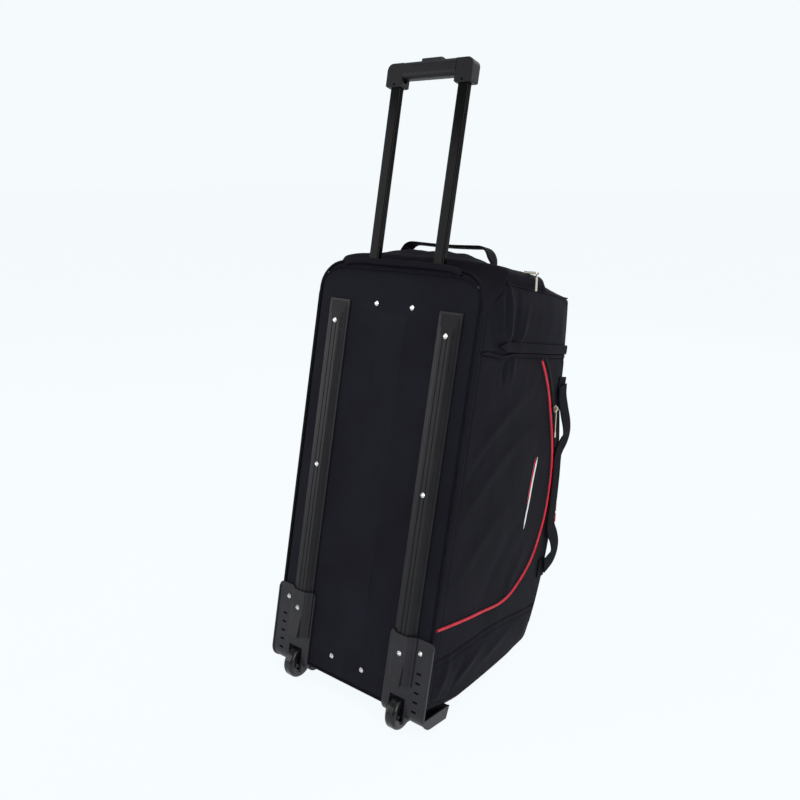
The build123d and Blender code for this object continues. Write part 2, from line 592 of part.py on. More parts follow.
def make_release():
    """Push button, the yoke with its two rods, and the button's spring."""
    foot = GRIP_TOP - BUTTON_UNDER
    button = along_z(Pos(0, TUBE_Y) * RectangleRounded(2 * BUTTON_HALF, 14, 4.5), foot, GRIP_TOP + BUTTON_TRAVEL)
    button = fillet(button.edges().group_by(Axis.Z)[-1], 2)
    stem_low = GRIP_LOW + 10 + BUTTON_TRAVEL
    button += block((-8, 8), (TUBE_Y - 3, TUBE_Y + 3), (stem_low, foot + 1))
    yoke = block((-TUBE_X - 3, TUBE_X + 3), (TUBE_Y - 3, TUBE_Y + 3), (stem_low - 5, stem_low))
    for _, side in SIDES:
        yoke += rod_z(side * TUBE_X, TUBE_Y, (TUBE_LOW + 20 + BUTTON_TRAVEL + 1, stem_low - 4), 2)
    height = BUTTON_TRAVEL - 0.4
    coil = Helix(pitch=1.5, height=height - 0.8, radius=3.6)
    wire = Plane(origin=coil @ 0, z_dir=coil % 0) * Circle(0.35)
    spring = Pos(0, TUBE_Y, GRIP_LOW + 4.5) * sweep(wire, path=coil, is_frenet=True)
    return {"release_button": button, "release_yoke": yoke, "button_spring": spring}


# ---------------- trims, zips and handles ----------------

def pocket_arcs(shift):
    """The curved run of the side pocket as three tangent arcs, moved outward by shift."""
    tangent = Vector(1, 0, 0)
    arcs = []
    for start, end in zip(POCKET, POCKET[1:]):
        plain = TangentArc(start, end, tangent=tangent)
        after = plain % 1
        a = Vector(*start) + Vector(tangent.Y, -tangent.X) * shift
        b = Vector(*end) + Vector(after.Y, -after.X) * shift
        arcs.append(TangentArc(a, b, tangent=tangent))
        tangent = after
    return arcs


def side_trim(path, width, height, side):
    """A raised strip that follows a path on one side panel."""
    face = trace(path, line_width=width)
    strip = along_x(face, -FAR, FAR) & skin_between(-height, -0.001)
    return one_side(strip, side)


def make_trims(side):
    """Piping, side pocket zip chain and end pocket flap of one side."""
    arcs = pocket_arcs(0)
    run = Line(PIPING_START, arcs[0] @ 0)
    for arc in arcs:
        run += arc
    chain = pocket_arcs(POCKET_ZIP_OFFSET)
    flap = Line(FLAP_START, (face_depth(FLAP_END) - FLAP_INSET, FLAP_END))
    zip_strip = side_trim(chain[1] + chain[2], 7, 2, side)
    return {
        "piping_": side_trim(run, PIPING_WIDE, 3, side),
        "side_pocket_zip_": zip_strip,
        "end_pocket_flap_": side_trim(flap, FLAP_WIDE, 4, side) - zip_strip,
    }


def chain_place(height):
    """Point (depth, height) on the upper arc of the side pocket's zip chain."""
    arc = pocket_arcs(POCKET_ZIP_OFFSET)[2]
    centre = arc.arc_center
    reach = math.sqrt(arc.radius**2 - (height - centre.Y) ** 2)
    return centre.X + reach, height


def make_pull_pin(width):
    """Two ears and a pin along X, standing on y = 0, that a pull tab turns on."""
    ears = block((-width / 2, -width / 2 + 1.2), (-0.5, 4), (-2.2, 2.2))
    ears += block((width / 2 - 1.2, width / 2), (-0.5, 4), (-2.2, 2.2))
    return ears + rod_x((-width / 2, width / 2), 2.6, 0, 0.8)


def make_main_slider():
    """Slider on the main zip's long side, drawn at its place on the curved edge."""
    notch = along_y(Pos(0, 8) * Rectangle(2.2, 5), -1, SLIDER_TALL + 1)
    body = along_y(RectangleRounded(11, 15, 3), GAP, SLIDER_TALL) - notch
    slider = body + Pos(0, SLIDER_TALL, 0) * make_pull_pin(6.4)
    return Pos(MAIN_SLIDER_X, curve_depth(MAIN_SLIDER_Z), MAIN_SLIDER_Z) * slider_tilt() * slider


def slider_tilt():
    """Turn a slider drawn upright so that it lies on the curve of the opening face."""
    slope = math.asin((MAIN_SLIDER_Z - CURVE_CENTRE[1]) / CURVE_RADIUS)
    return Rot(math.degrees(slope), 0, 0)


def main_pin():
    """Middle of the main slider's pin, as (x, y, z)."""
    slope = math.asin((MAIN_SLIDER_Z - CURVE_CENTRE[1]) / CURVE_RADIUS)
    lift = SLIDER_TALL + 2.6
    return (MAIN_SLIDER_X, curve_depth(MAIN_SLIDER_Z) + lift * math.cos(slope),
            MAIN_SLIDER_Z + lift * math.sin(slope))


def hang(solid, origin):
    """Turn a solid that hangs down -Z in its own frame until it hangs plumb, from an origin in the bag."""
    return Pos(*origin) * Rot(LEAN, 0, 0) * solid


def make_main_pull():
    """Flat metal tab on the main slider's pin, and the ribbed grip that hangs from the tab."""
    eye = rod_x((-1.8, 1.8), 0, 0, 2.1)
    tab = along_y(Pos(0, -16) * RectangleRounded(7, 24, 2) - Pos(0, -23.5) * Circle(2), -0.7, 0.7)
    tab += block((-1.8, 1.8), (-0.7, 0.7), (-6, 0))
    tab = tab + eye - rod_x((-3, 3), 0, 0, 0.95)
    grip = Torus(3.4, 0.9)
    grip = Pos(0, 0, -26.6) * Rot(0, 90, 0) * grip
    grip += rod_z(0, 0, (-MAIN_PULL_LENGTH, -30.2), 1.6)
    pitch = (MAIN_PULL_LENGTH - 40) / 4
    for step in range(4):
        top = -36 - pitch * step
        grip += fillet(rod_z(0, 0, (top - pitch + 7, top), 3.4).edges(), 1.4)
    return {"main_pull": hang(tab, main_pin()), "main_pull_grip": hang(grip, main_pin())}


def make_side_slider(side):
    """Side pocket slider with a stud along X, and the ring and rod pull that hangs on the stud."""
    depth, height = chain_place(SIDE_SLIDER_Z)
    base = SIDE_SLIDER_X
    slope = 38
    body = Pos(0, depth, height) * Rot(slope, 0, 0) * along_x(RectangleRounded(10, 15, 3), base, base + 3.4)
    stud = rod_x((base + 3, base + 8.4), depth, height, 1.2) + rod_x((base + 7.4, base + 8.6), depth, height, 2.6)
    ring = rod_x((base + 4.4, base + 6.4), 0, 0, 5) - rod_x((base, base + 9), 0, 0, 1.6)
    middle = base + 5.4
    ring += rod_z(middle, 0, (-52, -4), 1)
    ring += fillet(rod_z(middle, 0, (-62, -50), 2).edges(), 0.8)
    parts = {"side_slider_": body + stud, "side_pull_": hang(ring, (0, depth, height))}
    if side < 0:
        parts = {name: mirror(solid, about=Plane.YZ) for name, solid in parts.items()}
    return parts


def make_end_zip():
    """Slider on the trolley end near its right edge, and the pull that hangs over the edge."""
    top = END_TOP + GAP
    slider = block((END_PIN_X - 24, END_PIN_X + 2.6), (-5, 5), (top, top + 4))
    slider = fillet(slider.edges().filter_by(Axis.Z), 2)
    slider -= block((END_PIN_X - 3.4, END_PIN_X + 5), (-3.2, 3.2), (top - 1, top + 6))
    slider += rod_y(END_PIN_X, (-4, 4), top + 2, 0.9)
    tab = rod_y(0, (-1.8, 1.8), 0, 2.3)
    tab += block((-0.8, 0.8), (-1.8, 1.8), (-8, 0))
    tab += along_x(Pos(0, -20) * RectangleRounded(8, 26, 2), -0.8, 0.8)
    hung = Rot(LEAN, 0, 0) * tab - rod_y(0, (-5, 5), 0, 1.05)
    return {"end_slider": Pos(0, END_SLIDER_Y, 0) * slider,
            "end_pull": Pos(END_PIN_X, END_SLIDER_Y, top + 2) * hung}


def handle_ends():
    """Centres of one carry handle's upper and lower ends, as (depth, height)."""
    return ((face_depth(CARRY_TOP_Z) - CARRY_TOP_INSET, CARRY_TOP_Z),
            (face_depth(CARRY_LOW_Z) - CARRY_LOW_INSET, CARRY_LOW_Z))


def carry_run():
    """Points of a carry handle between its ends, as (height, lift over the opening face)."""
    upper = [(CURVE_HIGH + drop, lift) for drop, lift in CARRY_UPPER]
    lower = [(CURVE_LOW + rise, lift) for rise, lift in CARRY_LOWER]
    top, low = upper[-1][0], lower[0][0]
    return upper + [(low + share * (top - low), lift) for share, lift in CARRY_MIDDLE] + lower


def make_carry_handle(side):
    """Webbing grab handle along one edge of the opening, humped outward below each end."""
    upper, lower = handle_ends()
    middle = [(curve_depth(z) + lift, z) for z, lift in carry_run()]
    line = FilletPolyline(upper, *middle, lower, radius=22)
    strap = along_x(trace(line, line_width=WEBBING), CARRY_X, CARRY_X + STRAP_THICK)
    return strap if side > 0 else mirror(strap, about=Plane.YZ)


def make_handle_anchors():
    """Stitched patches on the side panels under the ends of the carry handles."""
    patches = []
    for depth, height in handle_ends():
        pad = along_x(Pos(depth, height) * RectangleRounded(34, 40, 3), -FAR, FAR)
        patches += [one_side(pad & skin_between(-2.4, -0.001), side) for _, side in SIDES]
    return Compound(patches)


def make_haul_handle():
    """Padded webbing handle arching over the trolley end, narrowed at its feet where it flops."""
    foot = END_TOP + HAUL_LIFT
    top = foot + HAUL_RISE
    line = FilletPolyline((-HAUL_HALF, foot), (-HAUL_HALF + 24, top), (HAUL_HALF - 24, top), (HAUL_HALF, foot),
                          radius=14)
    arch = along_y(trace(line, line_width=STRAP_THICK), HAUL_Y - WEBBING / 2, HAUL_Y + WEBBING / 2)
    half = WEBBING / 2
    taper = Polyline((-3, foot - 5), (3, foot - 5), (3, foot + 3), (half, foot + 27), (half, top + 9),
                     (-half, top + 9), (-half, foot + 27), (-3, foot + 3), (-3, foot - 5))
    return arch & along_x(Pos(HAUL_Y, 0) * make_face(taper), -FAR, FAR)


def make_lip():
    """Fabric roll in front of the trolley tubes."""
    half, back = BASE_HALF - ROLL_INSET, TUBE_Y - TUBE_DEEP / 2 - 2
    return soft_block((-half, half), (BASE_SKIN + GAP, back), (BAG_LENGTH + GAP, BAG_LENGTH + ROLL_TALL), 3.5)


def build_all():
    """Every node of the bag, in the bag's own frame."""
    nodes = {}
    nodes.update(make_shell())
    nodes.update(make_base())
    nodes.update(make_fasteners())
    for name, side in SIDES:
        nodes["skid_rail_" + name] = make_rail(side)
        nodes["wheel_housing_" + name] = make_housing(side)
        nodes["tube_sleeve_" + name] = make_sleeve(side)
        nodes["handle_tube_" + name] = make_tube(side)
        nodes["grip_corner_" + name] = make_corner(side)
        nodes["carry_handle_" + name] = make_carry_handle(side)
        pieces = make_wheel(side) | make_lock(side) | make_trims(side) | make_side_slider(side)
        for prefix, solid in pieces.items():
            nodes[prefix + name] = solid
    high = BAG_LENGTH - BRACKET_TO_END
    nodes["tube_bracket_top"] = make_bracket(high, high + BRACKET_TALL, True)
    nodes["tube_bracket_foot"] = make_bracket(BRACKET_LOW, BRACKET_LOW + BRACKET_TALL, False)
    nodes["handle_grip"] = make_grip()
    nodes.update(make_release())
    nodes["handle_anchors"] = make_handle_anchors()
    nodes["main_slider"] = make_main_slider()
    nodes.update(make_main_pull())
    nodes.update(make_end_zip())
    nodes["haul_handle"] = make_haul_handle()
    nodes["trolley_lip"] = make_lip()
    return nodes


def place(nodes):
    """Lean the bag back and stand it on the floor, with the origin under the middle of its box."""
    leaned = {name: Rot(-LEAN, 0, 0) * shape for name, shape in nodes.items()}
    boxes = [shape.bounding_box() for shape in leaned.values()]
    front = min(box.min.Y for box in boxes)
    back = max(box.max.Y for box in boxes)
    lowest = min(box.min.Z for box in boxes)
    print("origin in the leaned frame: y", (front + back) / 2, "z", lowest, "floor", FLOOR)
    move = Pos(0, -(front + back) / 2, -lowest)
    return {name: move * shape for name, shape in leaned.items()}


os.makedirs("parts", exist_ok=True)
for node, shape in place(build_all()).items():
    export_step(shape, "parts/" + node + ".step")
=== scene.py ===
"""Looks of a wheeled sports trolley bag: skins, trims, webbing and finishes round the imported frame."""

import json
import logging
import math
from dataclasses import dataclass, field
from enum import Enum
from typing import Optional, Sequence

import bmesh
import bpy
import numpy as np
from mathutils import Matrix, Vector, noise

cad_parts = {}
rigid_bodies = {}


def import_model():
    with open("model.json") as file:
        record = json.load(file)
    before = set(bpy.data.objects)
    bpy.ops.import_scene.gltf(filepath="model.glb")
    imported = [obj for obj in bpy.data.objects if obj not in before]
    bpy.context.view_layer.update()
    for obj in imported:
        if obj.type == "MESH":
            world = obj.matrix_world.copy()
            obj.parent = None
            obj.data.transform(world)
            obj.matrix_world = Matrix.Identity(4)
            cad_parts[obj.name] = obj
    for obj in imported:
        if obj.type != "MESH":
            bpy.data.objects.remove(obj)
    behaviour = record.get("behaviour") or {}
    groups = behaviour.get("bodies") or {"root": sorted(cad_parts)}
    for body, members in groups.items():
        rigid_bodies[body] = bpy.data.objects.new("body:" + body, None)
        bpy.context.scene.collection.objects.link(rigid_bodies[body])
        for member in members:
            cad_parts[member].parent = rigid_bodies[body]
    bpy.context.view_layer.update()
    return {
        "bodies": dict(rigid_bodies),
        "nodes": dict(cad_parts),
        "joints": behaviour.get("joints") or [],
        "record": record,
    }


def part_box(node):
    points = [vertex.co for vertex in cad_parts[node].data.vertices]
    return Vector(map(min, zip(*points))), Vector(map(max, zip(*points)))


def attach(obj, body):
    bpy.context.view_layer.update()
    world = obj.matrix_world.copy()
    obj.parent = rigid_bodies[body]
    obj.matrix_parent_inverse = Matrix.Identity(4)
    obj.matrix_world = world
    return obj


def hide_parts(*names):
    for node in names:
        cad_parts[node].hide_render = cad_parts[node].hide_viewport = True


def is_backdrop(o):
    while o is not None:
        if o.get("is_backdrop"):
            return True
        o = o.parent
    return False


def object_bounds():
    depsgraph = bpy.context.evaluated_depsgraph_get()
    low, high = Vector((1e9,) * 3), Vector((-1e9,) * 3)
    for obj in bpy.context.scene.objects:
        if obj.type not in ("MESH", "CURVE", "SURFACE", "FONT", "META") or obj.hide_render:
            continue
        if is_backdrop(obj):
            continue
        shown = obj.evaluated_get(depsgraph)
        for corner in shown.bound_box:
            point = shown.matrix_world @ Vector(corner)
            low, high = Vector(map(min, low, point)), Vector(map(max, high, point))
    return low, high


log = logging.getLogger("bag")
MM = 0.001
Side = int


# ---------------------------------------------------------------- the bag's own frame

@dataclass(frozen=True)
class BagFrame:
    """The leaning bag's frame in millimetres: x across, y from base to opening, z along its length."""

    origin: np.ndarray
    deep: np.ndarray
    along: np.ndarray

    @staticmethod
    def from_rig(frame: dict) -> "BagFrame":
        """Read the lean from the handle's slide and the place from the wheel axles.


        Returns:
            The bag's frame in the row's metres.
        """
        axis = next(j["axis"] for j in frame["joints"] if j["name"] == "handle_slide")
        along = np.array(axis) / np.linalg.norm(axis)
        deep = np.array([0.0, along[2], -along[1]])
        low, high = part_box("wheel_axle_left")
        other_low, other_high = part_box("wheel_axle_right")
        axle = (np.array(low) + np.array(high) + np.array(other_low) + np.array(other_high)) / 4
        return BagFrame(axle - deep * AXLE_DEPTH * MM - along * AXLE_HEIGHT * MM, deep, along)

    def place(self, points: np.ndarray) -> np.ndarray:
        """Turn bag points in millimetres, shape (..., 3), into row points in metres.

        Args:
            points: Points in bag millimetres.

        Returns:
            Points of the same shape in row metres.
        """
        across = np.array([1.0, 0.0, 0.0])
        shift = points[..., 0:1] * across + points[..., 1:2] * self.deep + points[..., 2:3] * self.along
        return self.origin + shift * MM

    def middle(self) -> np.ndarray:
        """A row point in the middle of the bag."""
        return self.place(np.array([0.0, 190.0, 380.0]))


AXLE_DEPTH = 10.0
AXLE_HEIGHT = -19.0


def smooth(value: np.ndarray) -> np.ndarray:
    """Ease from 0 to 1 as value goes from 0 to 1, clipped outside."""
    t = np.clip(value, 0.0, 1.0)
    return t * t * (3 - 2 * t)


def bump(value: np.ndarray, centre: float, width: float) -> np.ndarray:
    """A bell of height 1 at centre with the given half width."""
    return np.exp(-(((value - centre) / width) ** 2))


def grain(points: np.ndarray, size: float, seed: float = 0.0) -> np.ndarray:
    """Smooth noise from -1 to 1 at each point.

    Args:
        points: Points of shape (..., 3) in millimetres.
        size: Size of one lump in millimetres.
        seed: Shift that picks another pattern.

    Returns:
        One value per point.
    """
    flat = points.reshape(-1, 3) / size + seed
    values = np.array([noise.noise(Vector(p)) for p in flat])
    return values.reshape(points.shape[:-1])


def rounded_path(corners: Sequence[tuple[float, float, float]], step: float) -> np.ndarray:
    """Sample a polyline whose corners are rounded.

    Args:
        corners: (a, b, radius) of each corner; the ends' radii are not used.
        step: Distance between samples.

    Returns:
        Points of shape (n, 2).
    """
    pts = [np.array(c[:2]) for c in corners]
    path = [pts[0]]
    for i in range(1, len(pts) - 1):
        before, here, after = pts[i - 1], pts[i], pts[i + 1]
        a = (before - here) / np.linalg.norm(before - here)
        b = (after - here) / np.linalg.norm(after - here)
        half = math.acos(np.clip(a @ b, -1, 1)) / 2
        reach = min(corners[i][2] / math.tan(half), 0.49 * np.linalg.norm(before - here),
                    0.49 * np.linalg.norm(after - here))
        turns = max(3, int(reach * 2 / step))
        start, end = here + a * reach, here + b * reach
        for t in np.linspace(0, 1, turns + 1):
            path.append((1 - t) ** 2 * start + 2 * t * (1 - t) * here + t * t * end)
    path.append(pts[-1])
    return resample(np.array(path), step)


def resample(path: np.ndarray, step: float) -> np.ndarray:
    """Space a path's points evenly, about step apart.

    Args:
        path: Points of shape (n, 2) or (n, 3).
        step: Distance wanted between points.

    Returns:
        The evenly spaced points.
    """
    lengths = np.concatenate([[0], np.cumsum(np.linalg.norm(np.diff(path, axis=0), axis=1))])
    count = max(2, int(round(lengths[-1] / step)) + 1)
    at = np.linspace(0, lengths[-1], count)
    return np.stack([np.interp(at, lengths, path[:, k]) for k in range(path.shape[1])], axis=1)


def curve_through(points: Sequence[Sequence[float]], step: float) -> np.ndarray:
    """Sample a smooth curve (Catmull-Rom) through the points, evenly spaced.

    Args:
        points: Points that the curve passes through.
        step: Distance between samples.

    Returns:
        The sampled points.
    """
    p = np.array(points, float)
    ends = np.vstack([2 * p[0] - p[1], p, 2 * p[-1] - p[-2]])
    t = np.linspace(0, 1, 16, endpoint=False)[:, None]
    runs = []
    for i in range(1, len(ends) - 2):
        a, b, c, d = ends[i - 1], ends[i], ends[i + 1], ends[i + 2]
        runs.append(0.5 * (2 * b + (c - a) * t + (2 * a - 5 * b + 4 * c - d) * t**2
                           + (3 * b - a - 3 * c + d) * t**3))
    return resample(np.vstack(runs + [p[-1:]]), step)


# ---------------------------------------------------------------- mesh building

class MeshKit:
    """Builds Blender meshes from points in the bag's frame."""

    def __init__(self, frame: BagFrame) -> None:
        """Keep the frame that every piece is placed with."""
        self.frame = frame

    def mesh(self, name: str, points: np.ndarray, faces: Sequence[Sequence[int]],
             uv: Optional[np.ndarray] = None) -> bpy.types.Object:
        """Make a smooth-shaded object.

        Args:
            name: The piece's name.
            points: Points of shape (n, 3) in bag millimetres.
            faces: Vertex indices of each face.
            uv: One (u, v) per point, in metres of cloth.

        Returns:
            The new object, linked to the scene.
        """
        data = bpy.data.meshes.new(name)
        data.from_pydata(self.frame.place(points).tolist(), [], [list(f) for f in faces])
        data.validate()
        if uv is not None:
            layer = data.uv_layers.new(name="cloth")
            index = np.zeros(len(data.loops), dtype=int)
            data.loops.foreach_get("vertex_index", index)
            layer.data.foreach_set("uv", uv[index].astype(np.float32).ravel())
        data.shade_smooth()
        piece = bpy.data.objects.new(name, data)
        bpy.context.scene.collection.objects.link(piece)
        return piece

    def grid(self, name: str, points: np.ndarray, closed: tuple[bool, bool] = (False, False),
             uv: Optional[np.ndarray] = None) -> bpy.types.Object:
        """Make a surface from a grid of points of shape (rows, columns, 3).

        Args:
            name: Name of the piece.
            points: The grid in bag millimetres.
            closed: Whether the rows and the columns wrap round.
            uv: Cloth coordinates of each point, if not its lengths.

        Returns:
            The new object.
        """
        rows, cols = points.shape[:2]
        if uv is None:
            uv = cloth_uv(points)
        faces = grid_faces(rows, cols, closed)
        return self.mesh(name, points.reshape(-1, 3), faces, uv.reshape(-1, 2))

    def tube(self, name: str, path: np.ndarray, radius: float | np.ndarray, sides: int = 12,
             closed: bool = False) -> bpy.types.Object:
        """Make a round cord along a path in bag millimetres.

        Args:
            name: The piece's name.
            path: Centre line, shape (n, 3).
            radius: Radius, or one radius for each point.
            sides: Points round the cord.
            closed: Whether the path is a loop.

        Returns:
            The cord, with its ends closed.
        """
        tangent = path_tangents(path, closed)
        guide = np.tile([1.0, 0.03, 0.02], (len(path), 1))
        across = unit(np.cross(tangent, guide))
        up = np.cross(across, tangent)
        turn = np.linspace(0, 2 * math.pi, sides, endpoint=False)
        ring = np.cos(turn)[None, :, None] * across[:, None] + np.sin(turn)[None, :, None] * up[:, None]
        reach = np.broadcast_to(np.asarray(radius, float), (len(path),))
        points = path[:, None] + reach[:, None, None] * ring
        piece = self.grid(name, points, (closed, True))
        return piece if closed else cap_ends(piece, len(path), sides)

    def ribbon(self, name: str, path: np.ndarray, across: np.ndarray, width: float | np.ndarray,
               thick: float, edge: float = 1.0, ribs: int = 0) -> bpy.types.Object:
        """Make webbing: a flat band with rounded edges.

        Args:
            name: The piece's name.
            path: Centre line in bag millimetres, shape (n, 3).
            across: Direction of the width at each point, shape (n, 3).
            width: Width, or one width for each point.
            thick: Thickness.
            edge: How far the rounded edge reaches in, in thicknesses.
            ribs: Raised ribs along the band on both faces.

        Returns:
            The closed band.
        """
        tangent = path_tangents(path, False)
        across = unit(across - np.sum(across * tangent, axis=1)[:, None] * tangent)
        out = np.cross(tangent, across)
        half = np.broadcast_to(np.asarray(width, float), (len(path),)) / 2
        profile = band_profile(thick, edge, ribs)
        side = profile[:, 0][None, :] * half[:, None]
        rise = profile[:, 1][None, :, None]
        points = path[:, None] + side[..., None] * across[:, None] + rise * out[:, None]
        return cap_ends(self.grid(name, points, (False, True)), len(path), len(profile))


def band_profile(thick: float, edge: float, ribs: int) -> np.ndarray:
    """Closed section of a band as (share of half width, height).

    Args:
        thick: Full thickness of the band.
        edge: Share of the half width that its rounded edge takes.
        ribs: Count of raised ribs across it.

    Returns:
        Points of shape (n, 2).
    """
    count = 24
    share = np.cos(np.linspace(0, math.pi, count))
    height = thick / 2 * np.sqrt(np.clip(1 - np.abs(share) ** (12 / edge), 0, 1))
    if ribs:
        height = height * (1 - 0.3 / math.sqrt(ribs) * (0.5 + 0.5 * np.cos(share * ribs * math.pi)))
    top = np.stack([share, height], axis=1)
    bottom = np.stack([share[::-1][1:-1], -height[::-1][1:-1]], axis=1)
    return np.vstack([top, bottom])


def grid_faces(rows: int, cols: int, closed: tuple[bool, bool]) -> list[tuple[int, int, int, int]]:
    """Faces of a grid, wrapped round where it is closed.

    Args:
        rows: Count of rows.
        cols: Count of columns.
        closed: Whether the rows and the columns wrap round.

    Returns:
        Vertex numbers of each face.
    """
    faces = []
    for i in range(rows if closed[0] else rows - 1):
        for j in range(cols if closed[1] else cols - 1):
            a, b = (i + 1) % rows, (j + 1) % cols
            faces.append((i * cols + j, a * cols + j, a * cols + b, i * cols + b))
    return faces


def cap_ends(piece: bpy.types.Object, rows: int, cols: int) -> bpy.types.Object:
    """Close both ends of a tube-like grid.

    Args:
        piece: The grid, with its first and last rows open.
        rows: Count of rows.
        cols: Count of points in a row.

    Returns:
        The same object, closed.
    """
    data = piece.data
    points = np.zeros(len(data.vertices) * 3)
    data.vertices.foreach_get("co", points)
    faces = [tuple(p.vertices) for p in data.polygons]
    faces += [tuple(range(cols))[::-1], tuple((rows - 1) * cols + k for k in range(cols))]
    uv = np.zeros(len(data.loops) * 2)
    data.uv_layers[0].data.foreach_get("uv", uv)
    new = bpy.data.meshes.new(piece.name)
    new.from_pydata(points.reshape(-1, 3).tolist(), [], faces)
    layer = new.uv_layers.new(name="cloth")
    layer.data.foreach_set("uv", np.concatenate([uv, np.zeros(len(new.loops) * 2 - len(uv))]))
    new.shade_smooth()
    piece.data = new
    return piece


def unit(vectors: np.ndarray) -> np.ndarray:
    """Scale vectors to length one."""
    return vectors / np.maximum(np.linalg.norm(vectors, axis=-1, keepdims=True), 1e-9)


def path_tangents(path: np.ndarray, closed: bool) -> np.ndarray:
    """Direction of a path at each point.

    Args:
        path: Points of shape (n, 2) or (n, 3).
        closed: Whether the path is a loop.

    Returns:
        Unit directions of the same shape.
    """
    if closed:
        return unit(np.roll(path, -1, axis=0) - np.roll(path, 1, axis=0))
    return unit(np.gradient(path, axis=0))


def cloth_uv(points: np.ndarray) -> np.ndarray:
    """Lengths along a grid's rows and columns, in metres, as its cloth coordinates.

    Args:
        points: Grid of shape (rows, columns, 3) in millimetres.

    Returns:
        Coordinates of shape (rows, columns, 2).
    """
    du = np.linalg.norm(np.diff(points, axis=0), axis=2)
    dv = np.linalg.norm(np.diff(points, axis=1), axis=2)
    u = np.concatenate([np.zeros((1, points.shape[1])), np.cumsum(du, axis=0)]) * MM
    v = np.concatenate([np.zeros((points.shape[0], 1)), np.cumsum(dv, axis=1)], axis=1) * MM
    return np.stack([u, v], axis=2)


def face_away(piece: bpy.types.Object, inside: np.ndarray) -> None:
    """Turn a skin's faces so that they look away from a point inside it.

    Args:
        piece: The skin.
        inside: A point inside it.
    """
    data = piece.data
    centres = np.zeros(len(data.polygons) * 3)
    normals = np.zeros(len(data.polygons) * 3)
    areas = np.zeros(len(data.polygons))
    data.polygons.foreach_get("center", centres)
    data.polygons.foreach_get("normal", normals)
    data.polygons.foreach_get("area", areas)
    away = np.sum(normals.reshape(-1, 3) * (centres.reshape(-1, 3) - inside), axis=1)
    if float(np.sum(away * areas)) < 0:
        data.flip_normals()


def thicken(piece: bpy.types.Object, thickness: float, inside: Optional[np.ndarray] = None) -> None:
    """Give an open skin a wall that grows inward, applied to its mesh.

    Args:
        piece: The skin.
        thickness: Wall in millimetres.
        inside: A row point on the skin's inner side.
    """
    if inside is not None:
        face_away(piece, inside)
    wall = piece.modifiers.new("wall", "SOLIDIFY")
    wall.thickness = thickness * MM
    wall.offset = -1.0
    wall.use_even_offset = False
    apply_modifiers(piece)


def apply_modifiers(piece: bpy.types.Object) -> None:
    """Bake a piece's modifiers into its mesh.

    Args:
        piece: The object whose modifiers are used up.
    """
    graph = bpy.context.evaluated_depsgraph_get()
    data = bpy.data.meshes.new_from_object(piece.evaluated_get(graph))
    piece.modifiers.clear()
    piece.data = data
    data.shade_smooth()


def join(name: str, pieces: Sequence[bpy.types.Object]) -> bpy.types.Object:
    """Join pieces into one object of the given name.

    Args:
        name: Name of the joined object.
        pieces: The objects to join; only the joined one is left.

    Returns:
        The joined object.
    """
    first = pieces[0]
    with bpy.context.temp_override(active_object=first, object=first, selected_objects=list(pieces),
                                   selected_editable_objects=list(pieces)):
        bpy.ops.object.join()
    first.name = name
    first.data.name = name
    return first


# ---------------------------------------------------------------- finishes

